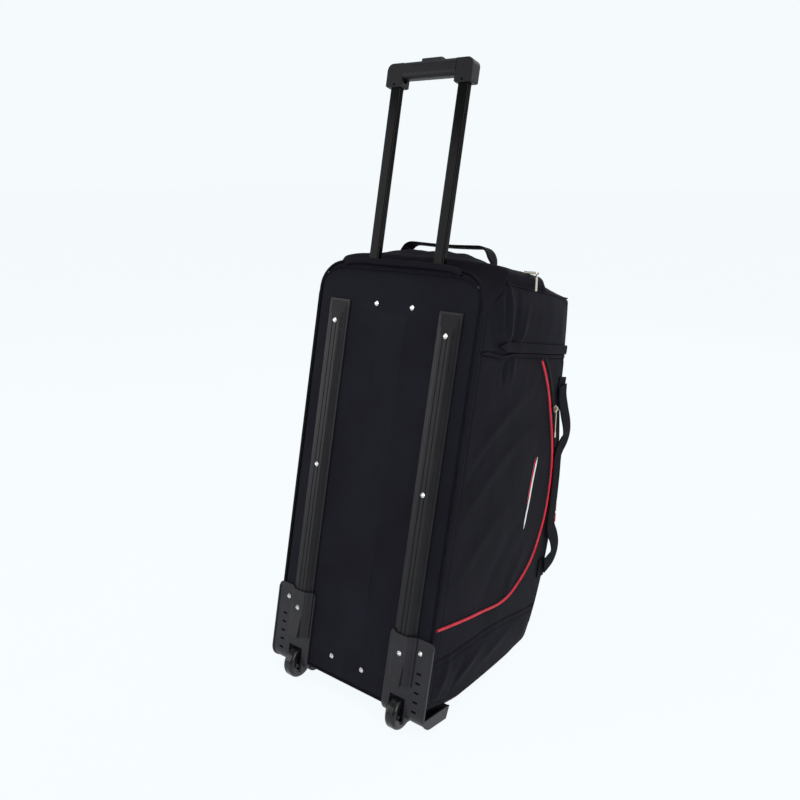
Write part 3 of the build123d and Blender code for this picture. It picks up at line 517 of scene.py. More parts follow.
class NodeKit:
    """Short ways to add shader nodes to one material."""

    def __init__(self, name: str) -> None:
        """Start a material with a Principled shader.

        Args:
            name: Name of the material.
        """
        self.material = bpy.data.materials.new(name)
        self.material.use_nodes = True
        self.tree = self.material.node_tree
        self.shader = self.tree.nodes["Principled BSDF"]
        self.coords = self.add("ShaderNodeTexCoord")

    def add(self, kind: str, **settings: object) -> bpy.types.Node:
        """Add a node and set its properties, or its inputs where the name is an input's.

        Args:
            kind: Type of the node.
            settings: Properties, or inputs, by name.

        Returns:
            The new node.
        """
        node = self.tree.nodes.new(kind)
        for key, value in settings.items():
            if key in node.inputs:
                node.inputs[key].default_value = value
            else:
                setattr(node, key, value)
        return node

    def link(self, out: bpy.types.NodeSocket, into: bpy.types.NodeSocket) -> None:
        """Join two sockets."""
        self.tree.links.new(out, into)

    def place(self, source: str, scale: tuple[float, float, float],
              turn: tuple[float, float, float] = (0, 0, 0)) -> bpy.types.NodeSocket:
        """Texture coordinates, turned and scaled.

        Args:
            source: Which texture coordinates to use.
            scale: Scale along each axis.
            turn: Turn about each axis in radians.

        Returns:
            The socket that gives the place.
        """
        node = self.add("ShaderNodeMapping")
        node.inputs["Scale"].default_value = scale
        node.inputs["Rotation"].default_value = turn
        self.link(self.coords.outputs[source], node.inputs["Vector"])
        return node.outputs["Vector"]

    def noise(self, where: bpy.types.NodeSocket, scale: float, detail: float = 3.0) -> bpy.types.NodeSocket:
        """Noise value at a place.

        Args:
            where: Place to read the noise at.
            scale: How many lumps there are in a unit.
            detail: Count of finer layers.

        Returns:
            The socket that gives the noise.
        """
        node = self.add("ShaderNodeTexNoise", Scale=scale, Detail=detail)
        self.link(where, node.inputs["Vector"])
        return node.outputs["Fac"]

    def wave(self, where: bpy.types.NodeSocket, scale: float, axis: str,
             wobble: float = 0.0) -> bpy.types.NodeSocket:
        """Sine bands across one axis.

        Args:
            where: Place to read the bands at.
            scale: How many bands there are in a unit.
            axis: Axis that the bands cross.
            wobble: How far they wander.

        Returns:
            The socket that gives the bands.
        """
        node = self.add("ShaderNodeTexWave", wave_type="BANDS", bands_direction=axis, wave_profile="SIN")
        node.inputs["Scale"].default_value = scale
        node.inputs["Distortion"].default_value = wobble
        node.inputs["Detail Scale"].default_value = 2.0
        self.link(where, node.inputs["Vector"])
        return node.outputs["Fac"]

    def math(self, kind: str, a: object, b: object) -> bpy.types.NodeSocket:
        """One maths step on sockets or numbers.

        Args:
            kind: Name of the operation.
            a: First socket or number.
            b: Second socket or number.

        Returns:
            The socket that gives the result.
        """
        node = self.add("ShaderNodeMath", operation=kind)
        for slot, value in enumerate((a, b)):
            if isinstance(value, (int, float)):
                node.inputs[slot].default_value = value
            else:
                self.link(value, node.inputs[slot])
        return node.outputs[0]

    def blend(self, share: bpy.types.NodeSocket, low: Sequence[float], high: Sequence[float],
              into: str, span: tuple[float, float] = (0.3, 0.7)) -> None:
        """Colour or value that varies with a share, sent to one of the shader's inputs.

        Args:
            share: Socket from 0 to 1.
            low: Colour or value at the low end.
            high: Colour or value at the high end.
            into: Name of the shader's input.
            span: Shares at which the low and the high end are reached.
        """
        ramp = self.add("ShaderNodeValToRGB")
        ramp.color_ramp.elements[0].position, ramp.color_ramp.elements[1].position = span
        ramp.color_ramp.elements[0].color = tuple(low) + (1.0,)
        ramp.color_ramp.elements[1].color = tuple(high) + (1.0,)
        self.link(share, ramp.inputs["Fac"])
        self.link(ramp.outputs["Color"], self.shader.inputs[into])

    def relief(self, height: bpy.types.NodeSocket, depth: float, strength: float = 1.0,
               under: Optional[bpy.types.NodeSocket] = None) -> bpy.types.NodeSocket:
        """Bump on the shader's normal, over an earlier bump if one is given.

        Args:
            height: Socket that gives the height.
            depth: Real height of the relief in metres.
            strength: Strength of the bump.
            under: Earlier bump to lay it over.

        Returns:
            The socket that gives the normal.
        """
        node = self.add("ShaderNodeBump", Strength=strength, Distance=depth)
        self.link(height, node.inputs["Height"])
        if under is not None:
            self.link(under, node.inputs["Normal"])
        self.link(node.outputs["Normal"], self.shader.inputs["Normal"])
        return node.outputs["Normal"]

    def set(self, **values: float) -> None:
        """Set the shader's own sockets, with _ for spaces in their names."""
        for key, value in values.items():
            self.shader.inputs[key.replace("_", " ")].default_value = value


@dataclass(frozen=True)
class WovenCloth:
    """Coated woven polyester: a fine plain weave, slightly uneven, with soft broad variation."""

    name: str = "woven_polyester"
    dark: tuple[float, float, float] = (0.0028, 0.0027, 0.0056)
    light: tuple[float, float, float] = (0.0062, 0.0060, 0.0112)
    threads: float = 900.0
    weave_depth: float = 0.00022
    roughness: float = 0.72
    specular: float = 0.09
    sheen: float = 0.0

    def build(self) -> bpy.types.Material:
        """Make the material.

        Returns:
            The material.
        """
        kit = NodeKit(self.name)
        place = kit.place("UV", (1, 1, 1))
        fine = self.threads / (2 * math.pi)
        warp = kit.wave(place, fine, "X", 0.4)
        weft = kit.wave(place, fine, "Y", 0.4)
        over = kit.math("MULTIPLY", warp, weft)
        slubs = kit.noise(place, 420.0, 2.0)
        height = kit.math("ADD", over, kit.math("MULTIPLY", slubs, 0.6))
        broad = kit.noise(kit.place("Object", (1, 1, 1)), 9.0, 4.0)
        tone = kit.math("ADD", kit.math("MULTIPLY", broad, 0.65), kit.math("MULTIPLY", slubs, 0.35))
        kit.blend(tone, self.dark, self.light, "Base Color", (0.35, 0.68))
        crumple = kit.noise(kit.place("Object", (1, 1, 1)), 55.0, 3.0)
        under = kit.relief(crumple, 0.0011, 0.55)
        kit.relief(height, self.weave_depth, 0.8, under)
        kit.set(Roughness=self.roughness, Specular_IOR_Level=self.specular, Sheen_Weight=self.sheen,
                Sheen_Roughness=0.35)
        return kit.material


@dataclass(frozen=True)
class Webbing:
    """Woven strap: strong ribs across its length."""

    name: str = "strap_webbing"
    dark: tuple[float, float, float] = (0.0022, 0.0022, 0.0034)
    light: tuple[float, float, float] = (0.0075, 0.0075, 0.0105)

    def build(self) -> bpy.types.Material:
        """Make the material.

        Returns:
            The material.
        """
        kit = NodeKit(self.name)
        place = kit.place("UV", (1, 1, 1))
        rib = kit.wave(place, 95.0, "X", 0.6)
        twill = kit.wave(kit.place("UV", (1, 1, 1), (0, 0, 0.8)), 130.0, "X", 0.3)
        height = kit.math("ADD", kit.math("MULTIPLY", rib, 0.6), kit.math("MULTIPLY", twill, 0.4))
        fuzz = kit.noise(place, 300.0, 3.0)
        kit.blend(kit.math("ADD", kit.math("MULTIPLY", height, 0.5), kit.math("MULTIPLY", fuzz, 0.5)),
                  self.dark, self.light, "Base Color", (0.2, 0.8))
        kit.relief(height, 0.0005, 0.9)
        kit.set(Roughness=0.7, Specular_IOR_Level=0.06)
        return kit.material


@dataclass(frozen=True)
class CordTrim:
    """Smooth covered cord, such as piping."""

    name: str
    dark: tuple[float, float, float]
    light: tuple[float, float, float]
    roughness: float = 0.42
    twist: float = 260.0
    specular: float = 0.4

    def build(self) -> bpy.types.Material:
        """Make the material.

        Returns:
            The material.
        """
        kit = NodeKit(self.name)
        place = kit.place("UV", (1, 1, 1), (0, 0, 0.6))
        twist = kit.wave(place, self.twist, "X", 0.5)
        cloud = kit.noise(kit.place("Object", (1, 1, 1)), 60.0)
        kit.blend(cloud, self.dark, self.light, "Base Color")
        kit.relief(twist, 0.00018, 0.5)
        kit.set(Roughness=self.roughness, Specular_IOR_Level=self.specular)
        return kit.material


@dataclass(frozen=True)
class MouldedPlastic:
    """Injection-moulded plastic with a spark-eroded grain, scuffed a little here and there."""

    name: str
    dark: tuple[float, float, float]
    light: tuple[float, float, float]
    roughness: tuple[float, float] = (0.36, 0.5)
    grain_size: float = 1600.0
    grain_depth: float = 0.00012
    specular: float = 0.45
    drawn: bool = False

    def build(self) -> bpy.types.Material:
        """Make the material.

        Returns:
            The material.
        """
        kit = NodeKit(self.name)
        stretch = (1.0, 1.0, 0.04) if self.drawn else (1.0, 1.0, 1.0)
        place = kit.place("Object", (1, 1, 1))
        cloud = kit.noise(place, 22.0, 5.0)
        scuff = kit.noise(kit.place("Object", stretch), 480.0, 4.0)
        tone = kit.math("ADD", kit.math("MULTIPLY", cloud, 0.6), kit.math("MULTIPLY", scuff, 0.4))
        kit.blend(tone, self.dark, self.light, "Base Color", (0.35, 0.7))
        low, high = self.roughness
        kit.blend(scuff, (low,) * 3, (high,) * 3, "Roughness", (0.35, 0.7))
        kit.relief(kit.noise(place, self.grain_size, 2.0), self.grain_depth, 0.7)
        kit.set(Specular_IOR_Level=self.specular)
        return kit.material


@dataclass(frozen=True)
class Metal:
    """Bright or coated metal with fine marks."""

    name: str
    dark: tuple[float, float, float]
    light: tuple[float, float, float]
    metallic: float = 1.0
    roughness: tuple[float, float] = (0.18, 0.34)
    marks: float = 900.0
    coat: float = 0.0
    drawn: bool = False
    specular: float = 0.5

    def build(self) -> bpy.types.Material:
        """Make the material.

        Returns:
            The material.
        """
        kit = NodeKit(self.name)
        stretch = (1.0, 1.0, 0.02) if self.drawn else (1.0, 1.0, 1.0)
        marks = kit.noise(kit.place("Object", stretch), self.marks, 4.0)
        kit.blend(marks, self.dark, self.light, "Base Color")
        low, high = self.roughness
        kit.blend(marks, (low,) * 3, (high,) * 3, "Roughness")
        kit.relief(marks, 0.00004, 0.5)
        kit.set(Metallic=self.metallic, Coat_Weight=self.coat, Coat_Roughness=0.06,
                Specular_IOR_Level=self.specular)
        return kit.material


@dataclass(frozen=True)
class Wheel:
    """Cast polyurethane tyre: dark, glossy, with faint turning marks and dust."""

    name: str = "cast_tyre"

    def build(self) -> bpy.types.Material:
        """Make the material.

        Returns:
            The material.
        """
        kit = NodeKit(self.name)
        place = kit.place("Object", (1, 1, 1))
        dust = kit.noise(place, 70.0, 5.0)
        kit.blend(dust, (0.003, 0.003, 0.0035), (0.009, 0.009, 0.010), "Base Color")
        kit.blend(dust, (0.14,) * 3, (0.3,) * 3, "Roughness", (0.4, 0.7))
        kit.relief(kit.wave(place, 260.0, "X", 0.1), 0.00006, 0.5)
        kit.set(Specular_IOR_Level=0.35)
        return kit.material


class Palette(Enum):
    """Every finish on the bag."""

    CLOTH = WovenCloth()
    BASE_CLOTH = WovenCloth("base_polyester", (0.0036, 0.0035, 0.0072), (0.0078, 0.0075, 0.0140),
                            620.0, 0.0004, 0.66, 0.095)
    LINING = WovenCloth("lining_cloth", (0.018, 0.018, 0.02), (0.03, 0.03, 0.034), 1200.0, 0.0001, 0.5, 0.4)
    WEBBING = Webbing()
    RED = CordTrim("red_piping", (0.42, 0.006, 0.022), (0.58, 0.012, 0.034))
    BLACK_CORD = CordTrim("seam_cord", (0.002, 0.002, 0.003), (0.005, 0.005, 0.0075), 0.62, 260.0, 0.07)
    WHITE_PRINT = CordTrim("white_print", (0.62, 0.62, 0.62), (0.74, 0.74, 0.74), 0.5, 40.0)
    COIL = MouldedPlastic("zip_coil", (0.002, 0.002, 0.0025), (0.005, 0.005, 0.006), (0.5, 0.62),
                          specular=0.08)
    RAIL = MouldedPlastic("rail_plastic", (0.0045, 0.0044, 0.0062), (0.0085, 0.0083, 0.0108), (0.32, 0.44),
                          specular=0.24, drawn=True)
    HOUSING = MouldedPlastic("housing_plastic", (0.011, 0.0107, 0.0138), (0.019, 0.0185, 0.0225),
                             (0.38, 0.5), specular=0.27)
    GRIP = MouldedPlastic("grip_plastic", (0.005, 0.005, 0.006), (0.0095, 0.0095, 0.011), (0.36, 0.48),
                          1100.0, 0.00022, 0.22)
    BUTTON = MouldedPlastic("button_plastic", (0.004, 0.004, 0.007), (0.008, 0.008, 0.013), (0.25, 0.36))
    HUB = MouldedPlastic("hub_plastic", (0.005, 0.005, 0.0055), (0.01, 0.01, 0.011), (0.3, 0.42))
    BOARD = MouldedPlastic("base_board", (0.012, 0.012, 0.012), (0.02, 0.02, 0.02))
    TUBE = Metal("black_tube", (0.001, 0.001, 0.0012), (0.002, 0.002, 0.0024), 0.0, (0.14, 0.22), 700.0, 0.0,
                 True, 0.1)
    STEEL = Metal("screw_steel", (0.55, 0.55, 0.56), (0.74, 0.74, 0.75))
    ZIP_METAL = Metal("zip_metal", (0.50, 0.47, 0.38), (0.72, 0.69, 0.60), 1.0, (0.22, 0.36))
    TYRE = Wheel()


class Wardrobe:
    """Builds each finish once and puts it on pieces."""

    def __init__(self) -> None:
        """Start with no materials."""
        self.made: dict[Palette, bpy.types.Material] = {}

    def get(self, finish: Palette) -> bpy.types.Material:
        """The material of a finish.

        Args:
            finish: The finish wanted.

        Returns:
            Its material, made once and kept.
        """
        if finish not in self.made:
            self.made[finish] = finish.value.build()
        return self.made[finish]

    def dress(self, piece: bpy.types.Object, finish: Palette) -> None:
        """Give a piece one finish."""
        piece.data.materials.clear()
        piece.data.materials.append(self.get(finish))

    def dress_node(self, node: bpy.types.Object, finish: Palette) -> None:
        """Give a CAD node one finish in all its slots.

        Args:
            node: The CAD node.
            finish: The finish to give it.
        """
        if not node.material_slots:
            node.data.materials.append(self.get(finish))
        for slot in node.material_slots:
            slot.material = self.get(finish)


# ---------------------------------------------------------------- the bag's form

@dataclass
class BagForm:
    """The fabric body's shape in bag millimetres, shared by every skin and trim."""

    base_half: float = 180.0
    bulge: float = 12.0
    bulge_at: float = 230.0
    crown_half: float = 185.0
    length: float = 778.0
    low: float = -10.0
    curve_radius: float = 618.0
    curve_centre: tuple[float, float] = (-174.0, 282.0)
    curve_low: float = 80.0
    curve_high: float = 566.0
    trolley_depth: float = 337.0
    pocket: tuple[float, float] = (62.0, 204.0)
    top: float = 805.0
    front_rest: tuple[float, float] = (310.0, 18.5)
    back_rest: tuple[float, float] = (388.0, 36.8)
    band: float = 662.0
    step: float = 7.0
    top_corner: float = 60.0
    low_corner: float = 28.0
    edge: float = 12.0
    pocket_bulge: float = 6.0
    flap_crease: float = 5.0
    low_seam_crease: float = 3.2
    twin_seam_crease: float = 1.8
    low_swell: float = 4.0
    gusset_drop: float = 3.4
    end_edge_dip: float = 2.4
    base_stitches: tuple[tuple[float, float, float], ...] = ((17.0, 2.0, -2.2), (4.5, 2.0, -1.8), (10.5, 4.0, 1.2))

    def depth(self, z: np.ndarray) -> np.ndarray:
        """Depth of the opening face at a height.

        Args:
            z: Heights in millimetres.

        Returns:
            Depths in millimetres.
        """
        cy, cz = self.curve_centre
        curved = cy + np.sqrt(np.maximum(self.curve_radius**2 - (np.asarray(z) - cz) ** 2, 1.0))
        kink = cy + math.sqrt(self.curve_radius**2 - (self.curve_high - cz) ** 2)
        share = (np.asarray(z) - self.curve_high) / (self.length - self.curve_high)
        straight = kink + (self.trolley_depth - kink) * share
        swell = 5.0 * np.sin(np.clip(share, 0, 1) * math.pi)
        return np.where(np.asarray(z) > self.curve_high, straight + swell, curved)

    def half_width(self, y: np.ndarray) -> np.ndarray:
        """Half width of the bag at a depth: a shallow arc through the base, the swell and the crown.

        Args:
            y: Depths in millimetres.

        Returns:
            Half widths in millimetres.
        """
        pts = np.array([[-40.0, self.base_half], [self.bulge_at, self.base_half + self.bulge],
                        [500.0, self.crown_half]])
        return np.polyval(np.polyfit(pts[:, 0], pts[:, 1], 2), y)

    def outline(self) -> np.ndarray:
        """Side view from the base's wheel end round to its trolley end, as (y, z) points.

        Returns:
            Points of shape (n, 2) in millimetres.
        """
        curve_start = float(self.depth(np.array(self.curve_low)))
        start = rounded_path([(0, self.low, 0), (119, -8, 150), (*self.front_rest, 150),
                              (*self.back_rest, 34), (curve_start, self.curve_low, 0)], self.step)
        zs = np.arange(self.curve_low + self.step, self.length - 14, self.step)
        curve = np.stack([self.depth(zs), zs], axis=1)
        last = tuple(curve[-1])
        near, deep = self.pocket
        end = rounded_path([(*last, 0), (self.trolley_depth, self.length, 10),
                            (deep + 18, self.top - 15, 16), (deep, self.top, 14), (near, self.top, 14),
                            (near - 26, self.length, 12), (0, self.length, 0)], self.step)
        return resample(np.vstack([start, curve, end[1:]]), self.step)

    def corner_radius(self, path: np.ndarray) -> np.ndarray:
        """Radius of the edge between side and face at each outline point.

        Args:
            path: Outline points of shape (n, 2).

        Returns:
            One radius per point.
        """
        y, z = path[:, 0], path[:, 1]
        top = 13 + (self.top_corner - 13) * (1 - smooth(y / 60))
        low = 16 + (self.low_corner - 16) * (1 - smooth(y / 100))
        radius = np.where(z > self.length - 30, top, self.edge)
        radius = np.where(z < 30, low, radius)
        padded = np.pad(radius, 2, mode="edge")
        return np.convolve(padded, np.ones(5) / 5, mode="valid")

    def inward(self, path: np.ndarray) -> np.ndarray:
        """Unit normals of the outline, pointing into the bag."""
        t = unit(np.gradient(path, axis=0))
        return np.stack([-t[:, 1], t[:, 0]], axis=1)

    def side_relief(self, y: np.ndarray, z: np.ndarray, side: Side) -> np.ndarray:
        """How far the side cloth stands proud of the plain swell: pocket bulge, creases and folds.

        Args:
            y: Depths of the points.
            z: Heights of the points.
            side: Which side of the bag.

        Returns:
            Height of the relief at each point.
        """
        rim = smooth(y / 60) * smooth((self.depth(z) - y) / 50)
        band = self.flap_line(y)
        above = smooth((z - band) / 30) * smooth((self.length - z) / 40)
        pocket = self.pocket_bulge * above * smooth(y / 90) * rim
        near_base = 0.35 + 0.65 * smooth((110 - y) / 60)
        pinch = -self.flap_crease * bump(z, band - 13, 6.0) * smooth((y - 8) / 30) * near_base
        seam = -self.low_seam_crease * bump(z, self.low_seam(y), 3.4) * smooth(y / 12)
        twin = -self.twin_seam_crease * bump(z, self.low_seam(y) - 11, 2.6) * smooth(y / 12)
        below = self.low_swell * bump(z, self.low_seam(y) - 46, 30) * rim
        gusset = -self.gusset_drop * smooth((z - self.length + 1) / 5)
        edge = -self.end_edge_dip * bump(z, self.length, 3.0)
        stitch = sum(height * bump(y, at, width) for at, width, height in self.base_stitches)
        return pocket + pinch + seam + twin + below + gusset + edge + self.folds(y, z, side) * rim + stitch

    def flap_line(self, y: np.ndarray) -> np.ndarray:
        """Height of the end pocket's flap across the side."""
        return 664 + 8 * (y - 12) / 333

    def low_seam(self, y: np.ndarray) -> np.ndarray:
        """Height of the seam across the side near the wheel end."""
        return 96 + 22 * smooth(y / 230) - 6 * smooth((y - 260) / 160)

    def folds(self, y: np.ndarray, z: np.ndarray, side: Side) -> np.ndarray:
        """Slack folds that slant across the side cloth.

        Args:
            y: Depths of the points.
            z: Heights of the points.
            side: Which side of the bag.

        Returns:
            Height of the folds at each point.
        """
        total = np.zeros_like(y)
        for centre, angle, length, width, height in SIDE_FOLDS:
            c, s = math.cos(math.radians(angle)), math.sin(math.radians(angle))
            dy, dz = y - centre[0], z - centre[1]
            along = dy * c + dz * s
            across = -dy * s + dz * c + 0.0009 * along**2
            total += height * np.exp(-((along / length) ** 2)) * np.exp(-((across / width) ** 2))
        points = np.stack([y * 0.8 + z * 0.25, z * 0.5 - y * 0.3, np.full_like(y, 40.0 * side)], axis=-1)
        return total + 1.5 * grain(points, 60.0) + 0.5 * grain(points, 22.0, 5.0)

    def face_crown(self, x: np.ndarray, y: np.ndarray, z: np.ndarray) -> np.ndarray:
        """How far the end and opening cloth stands out of the plain outline.

        Args:
            x: Places across the bag.
            y: Depths of the points.
            z: Heights of the points.

        Returns:
            Height of the crown at each point.
        """
        share = np.clip(np.abs(x) / 176.0, 0, 1)
        dome = 1 - share**6
        ridge = np.clip(1 - (np.abs(x) / 128.0) ** 4, 0, 1) * bump(y, 104.0, 25.0)
        creases = 1 + 0.16 * grain(np.stack([x * 1.6, y * 0.4, 0 * z], axis=-1), 34.0, 9.0)
        top = (6.0 + 17.0 * ridge * creases) * smooth((z - self.top + 8) / 6)
        opening = (9.0 * (1 - share**4) + 2.0) * smooth((z - 60) / 60) * smooth((self.length - 26 - z) / 40)
        return dome * top + opening


SIDE_FOLDS = (
    ((105, 520), 44, 90, 16, 2.6), ((125, 440), 38, 110, 14, 2.4), ((60, 455), 48, 70, 11, -1.8),
    ((170, 560), 34, 70, 13, 2.0), ((110, 300), 42, 90, 18, 2.2), ((200, 260), 52, 90, 16, -1.6),
    ((52, 742), 108, 62, 8, 4.8), ((84, 722), 100, 66, 7, 5.8), ((112, 706), 96, 50, 8, -4.6),
    ((140, 700), 80, 40, 8, 3.4), ((30, 705), 116, 50, 7, -3.4), ((103, 628), 86, 24, 6, -5.0),
    ((132, 628), 96, 24, 6, 2.4), ((48, 60), 70, 46, 10, 3.4), ((88, 40), 60, 40, 8, -2.6),
    ((125, 58), 32, 60, 9, 2.6), ((230, 70), 20, 70, 10, 2.0), ((270, 210), 60, 80, 15, 2.0),
)


# ---------------------------------------------------------------- fabric skins

@dataclass
class FabricShell:
    """The bag's cloth: both sides, the two ends, the opening surround and the lid."""

    kit: MeshKit
    form: BagForm
    wardrobe: Wardrobe
    wall: float = 2.6
    lid_half: float = 173.0
    lid_low: float = 96.0
    lid_high: float = 560.0
    lid_corner: float = 60.0
    hinge_corner: float = 12.0
    zip_tape: float = 9.0
    opening_low: float = 66.0
    opening_high: float = 650.0
    arc_points: int = 7
    path: np.ndarray = field(init=False)
    radius: np.ndarray = field(init=False)
    normal: np.ndarray = field(init=False)

    def __post_init__(self) -> None:
        """Work out the outline that every skin shares."""
        self.path = self.form.outline()
        self.radius = self.form.corner_radius(self.path)
        self.normal = self.form.inward(self.path)

    def build(self) -> None:
        """Make and dress every skin."""
        for name, side in (("left", -1), ("right", 1)):
            self.make_side(name, side)
        self.make_end("wheel_end_cloth", "wheel_end_panel", self.path[:, 1] < self.opening_low + 8,
                      self.path[:, 0] < 450)
        self.make_end("trolley_end_cloth", "trolley_end_panel", self.path[:, 1] > self.opening_high - 8,
                      self.path[:, 0] < 450)
        self.make_opening()
        self.make_lid()

    def edge_row(self, i: int, side: Side) -> np.ndarray:
        """The rounded edge at one outline point, from the side panel towards the face.

        Args:
            i: Number of the outline point.
            side: Which side of the bag.

        Returns:
            Points of shape (n, 3).
        """
        turn = np.linspace(0, math.pi / 2, self.arc_points)
        r = self.radius[i]
        inset = r * (1 - np.sin(turn))
        flat = self.path[i] + self.normal[i] * inset[:, None]
        wide = self.form.half_width(flat[:, 0]) - r * (1 - np.cos(turn))
        return np.stack([side * wide, flat[:, 0], flat[:, 1]], axis=1)

    def face_row(self, i: int, count: int = 41) -> np.ndarray:
        """One row across a face, from the left edge's end to the right edge's.

        Args:
            i: Number of the outline point.
            count: Count of points in the row.

        Returns:
            Points of shape (count, 3).
        """
        half = float(self.form.half_width(self.path[i, 0])) - self.radius[i]
        x = np.linspace(-half, half, count)
        y = np.full(count, self.path[i, 0])
        z = np.full(count, self.path[i, 1])
        out = self.form.face_crown(x, y, z)
        flat = self.path[i] - self.normal[i] * out[:, None]
        return np.stack([x, flat[:, 0], flat[:, 1]], axis=1)

    def full_row(self, i: int) -> np.ndarray:
        """Edge, face and edge, in one row from left to right.

        Args:
            i: Number of the outline point.

        Returns:
            Points of shape (n, 3).
        """
        left = self.edge_row(i, -1)[:-1]
        right = self.edge_row(i, 1)[:-1][::-1]
        return np.vstack([left, self.face_row(i), right])

    def make_end(self, name: str, node: str, keep: np.ndarray, near: np.ndarray) -> None:
        """Make one end's cloth from the outline points that it keeps.

        Args:
            name: Name of the piece.
            node: CAD node that it replaces.
            keep: True at the outline points outside the opening.
            near: True at the outline points near this end.
        """
        rows = [self.full_row(i) for i in np.flatnonzero(keep & near)]
        points = np.array(rows)
        soft = 1.6 * grain(points, 60.0, 3.0) + 0.8 * grain(points, 22.0, 8.0)
        if node == "wheel_end_panel":
            soft = np.minimum(soft, 0.0) - 0.4
        normals = grid_normals(points)
        ends = fade_in(points.shape[0], 3)
        inner = fade_in(points.shape[1], 8)
        points = points + normals * (soft * inner[None, :] * ends[:, None])[..., None]
        piece = self.kit.grid(name, points)
        self.finish(piece, "bag", node)

    def finish(self, piece: bpy.types.Object, body: str, node: str) -> None:
        """Thicken a skin, dress it, hang it on the body that it rides on and hide the node that it replaces.

        Args:
            piece: The skin.
            body: Body that it rides on.
            node: CAD node that it replaces.
        """
        thicken(piece, self.wall, self.kit.frame.middle())
        self.wardrobe.dress(piece, Palette.CLOTH)
        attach(piece, body)
        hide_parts(node)
        log.info("made %s", piece.name)

    def side_boundary(self) -> tuple[np.ndarray, int, int]:
        """The side panel's edge, inset from the outline, and where its two far corners are.

        Returns:
            The edge as (y, z) points, and the numbers of the two corners.
        """
        edge = self.path + self.normal * self.radius[:, None]
        corners = ((396.0, 50.0), (self.form.trolley_depth, self.form.length))
        low_corner, high_corner = (int(np.argmin(np.linalg.norm(self.path - np.array(c), axis=1)))
                                   for c in corners)
        return edge, low_corner, high_corner

    def make_side(self, name: str, side: Side) -> None:
        """Fill one side between the base seam and the rounded edges with puffed, slack cloth.

        Args:
            name: Name of the piece.
            side: Which side of the bag.
        """
        edge, a, b = self.side_boundary()
        rows, cols = 300, 110
        bottom = resample_count(edge[: a + 1], cols)
        face = resample_count(edge[a: b + 1], rows)
        top = resample_count(edge[b:][::-1], cols)
        base = np.stack([np.zeros(rows), np.linspace(bottom[0, 1], top[0, 1], rows)], axis=1)
        u = np.linspace(0, 1, cols)[None, :, None]
        v = np.linspace(0, 1, rows)[:, None, None]
        edges = (1 - u) * base[:, None] + u * face[:, None] + (1 - v) * bottom[None] + v * top[None]
        low_corners = (1 - u) * (1 - v) * bottom[0] + u * (1 - v) * bottom[-1]
        high_corners = (1 - u) * v * top[0] + u * v * top[-1]
        flat = edges - low_corners - high_corners
        y, z = flat[..., 0], flat[..., 1]
        from_face = np.minimum(u[..., 0], 1 - u[..., 0]) * cols
        from_end = np.minimum(v[..., 0], 1 - v[..., 0]) * rows
        rim = np.minimum(from_face, from_end)
        x = self.form.half_width(y) + self.form.side_relief(y, z, side) * smooth(rim / 3.0)
        points = np.stack([side * x, y, z], axis=2)
        if side > 0:
            points = points[::-1]
        piece = self.kit.grid("side_cloth_" + name, points)
        self.finish(piece, "bag", "side_panel_" + name)

    def face_map(self, x: np.ndarray, z: np.ndarray) -> np.ndarray:
        """Put flat (x, z) points on the opening face, with its rounded edges and its crown.

        Args:
            x: Places across the bag.
            z: Heights of the points.

        Returns:
            Points of shape (..., 3) on the face.
        """
        depth = self.form.depth(z)
        half = self.form.half_width(depth)
        r = self.form.edge
        over = np.clip((np.abs(x) - (half - r)) / r, 0, 1)
        turn = np.arcsin(over)
        y = depth + self.form.face_crown(x, depth, z) - r * (1 - np.cos(turn))
        inner = smooth((half - 22 - np.abs(x)) / 30)
        soft = 1.5 * grain(np.stack([x, 0 * x, z], axis=-1), 70.0, 11.0) * inner
        return np.stack([x, y + soft, z], axis=-1)

    def window(self, grow: float, count: int) -> np.ndarray:
        """The lid's edge, grown by a margin, as evenly counted (x, z) points from the hinge's middle on.

        Args:
            grow: Margin in millimetres.
            count: Count of points.

        Returns:
            Points of shape (count, 2).
        """
        half, low, high = self.lid_half + grow, self.lid_low - grow, self.lid_high + grow
        middle = (low + high) / 2
        corner, tight = self.lid_corner + grow, self.hinge_corner
        ring = rounded_path([(-half, middle, 0), (-half, high, tight), (half, high, corner),
                             (half, low, corner), (-half, low, tight), (-half, middle, 0)], 2.0)
        return resample_count(ring, count + 1)[:-1]

    def make_opening(self) -> None:
        """Surround: rings from the window out to a rectangle, then rounded down to the sides."""
        count = 280
        inner = self.window(self.zip_tape, count)
        depth = self.form.depth(inner[:, 1])
        direction = unit(inner - np.array([0.0, (self.lid_low + self.lid_high) / 2]))
        outer = np.zeros_like(inner)
        for k, (p, d) in enumerate(zip(inner, direction)):
            half = float(self.form.half_width(depth[k])) - 0.02
            reach_x = (half - abs(p[0])) / max(abs(d[0]), 1e-6)
            limit = self.opening_high if d[1] > 0 else self.opening_low
            reach_z = (limit - p[1]) / d[1] if abs(d[1]) > 1e-6 else 1e9
            outer[k] = p + d * min(reach_x, reach_z)
        share = np.sin(np.linspace(0, math.pi / 2, 9)) ** 0.9
        flat = inner[None] + share[:, None, None] * (outer - inner)[None]
        points = self.face_map(flat[..., 0], flat[..., 1])
        piece = self.kit.grid("opening_cloth", points, (False, True))
        self.finish(piece, "bag", "opening_surround")

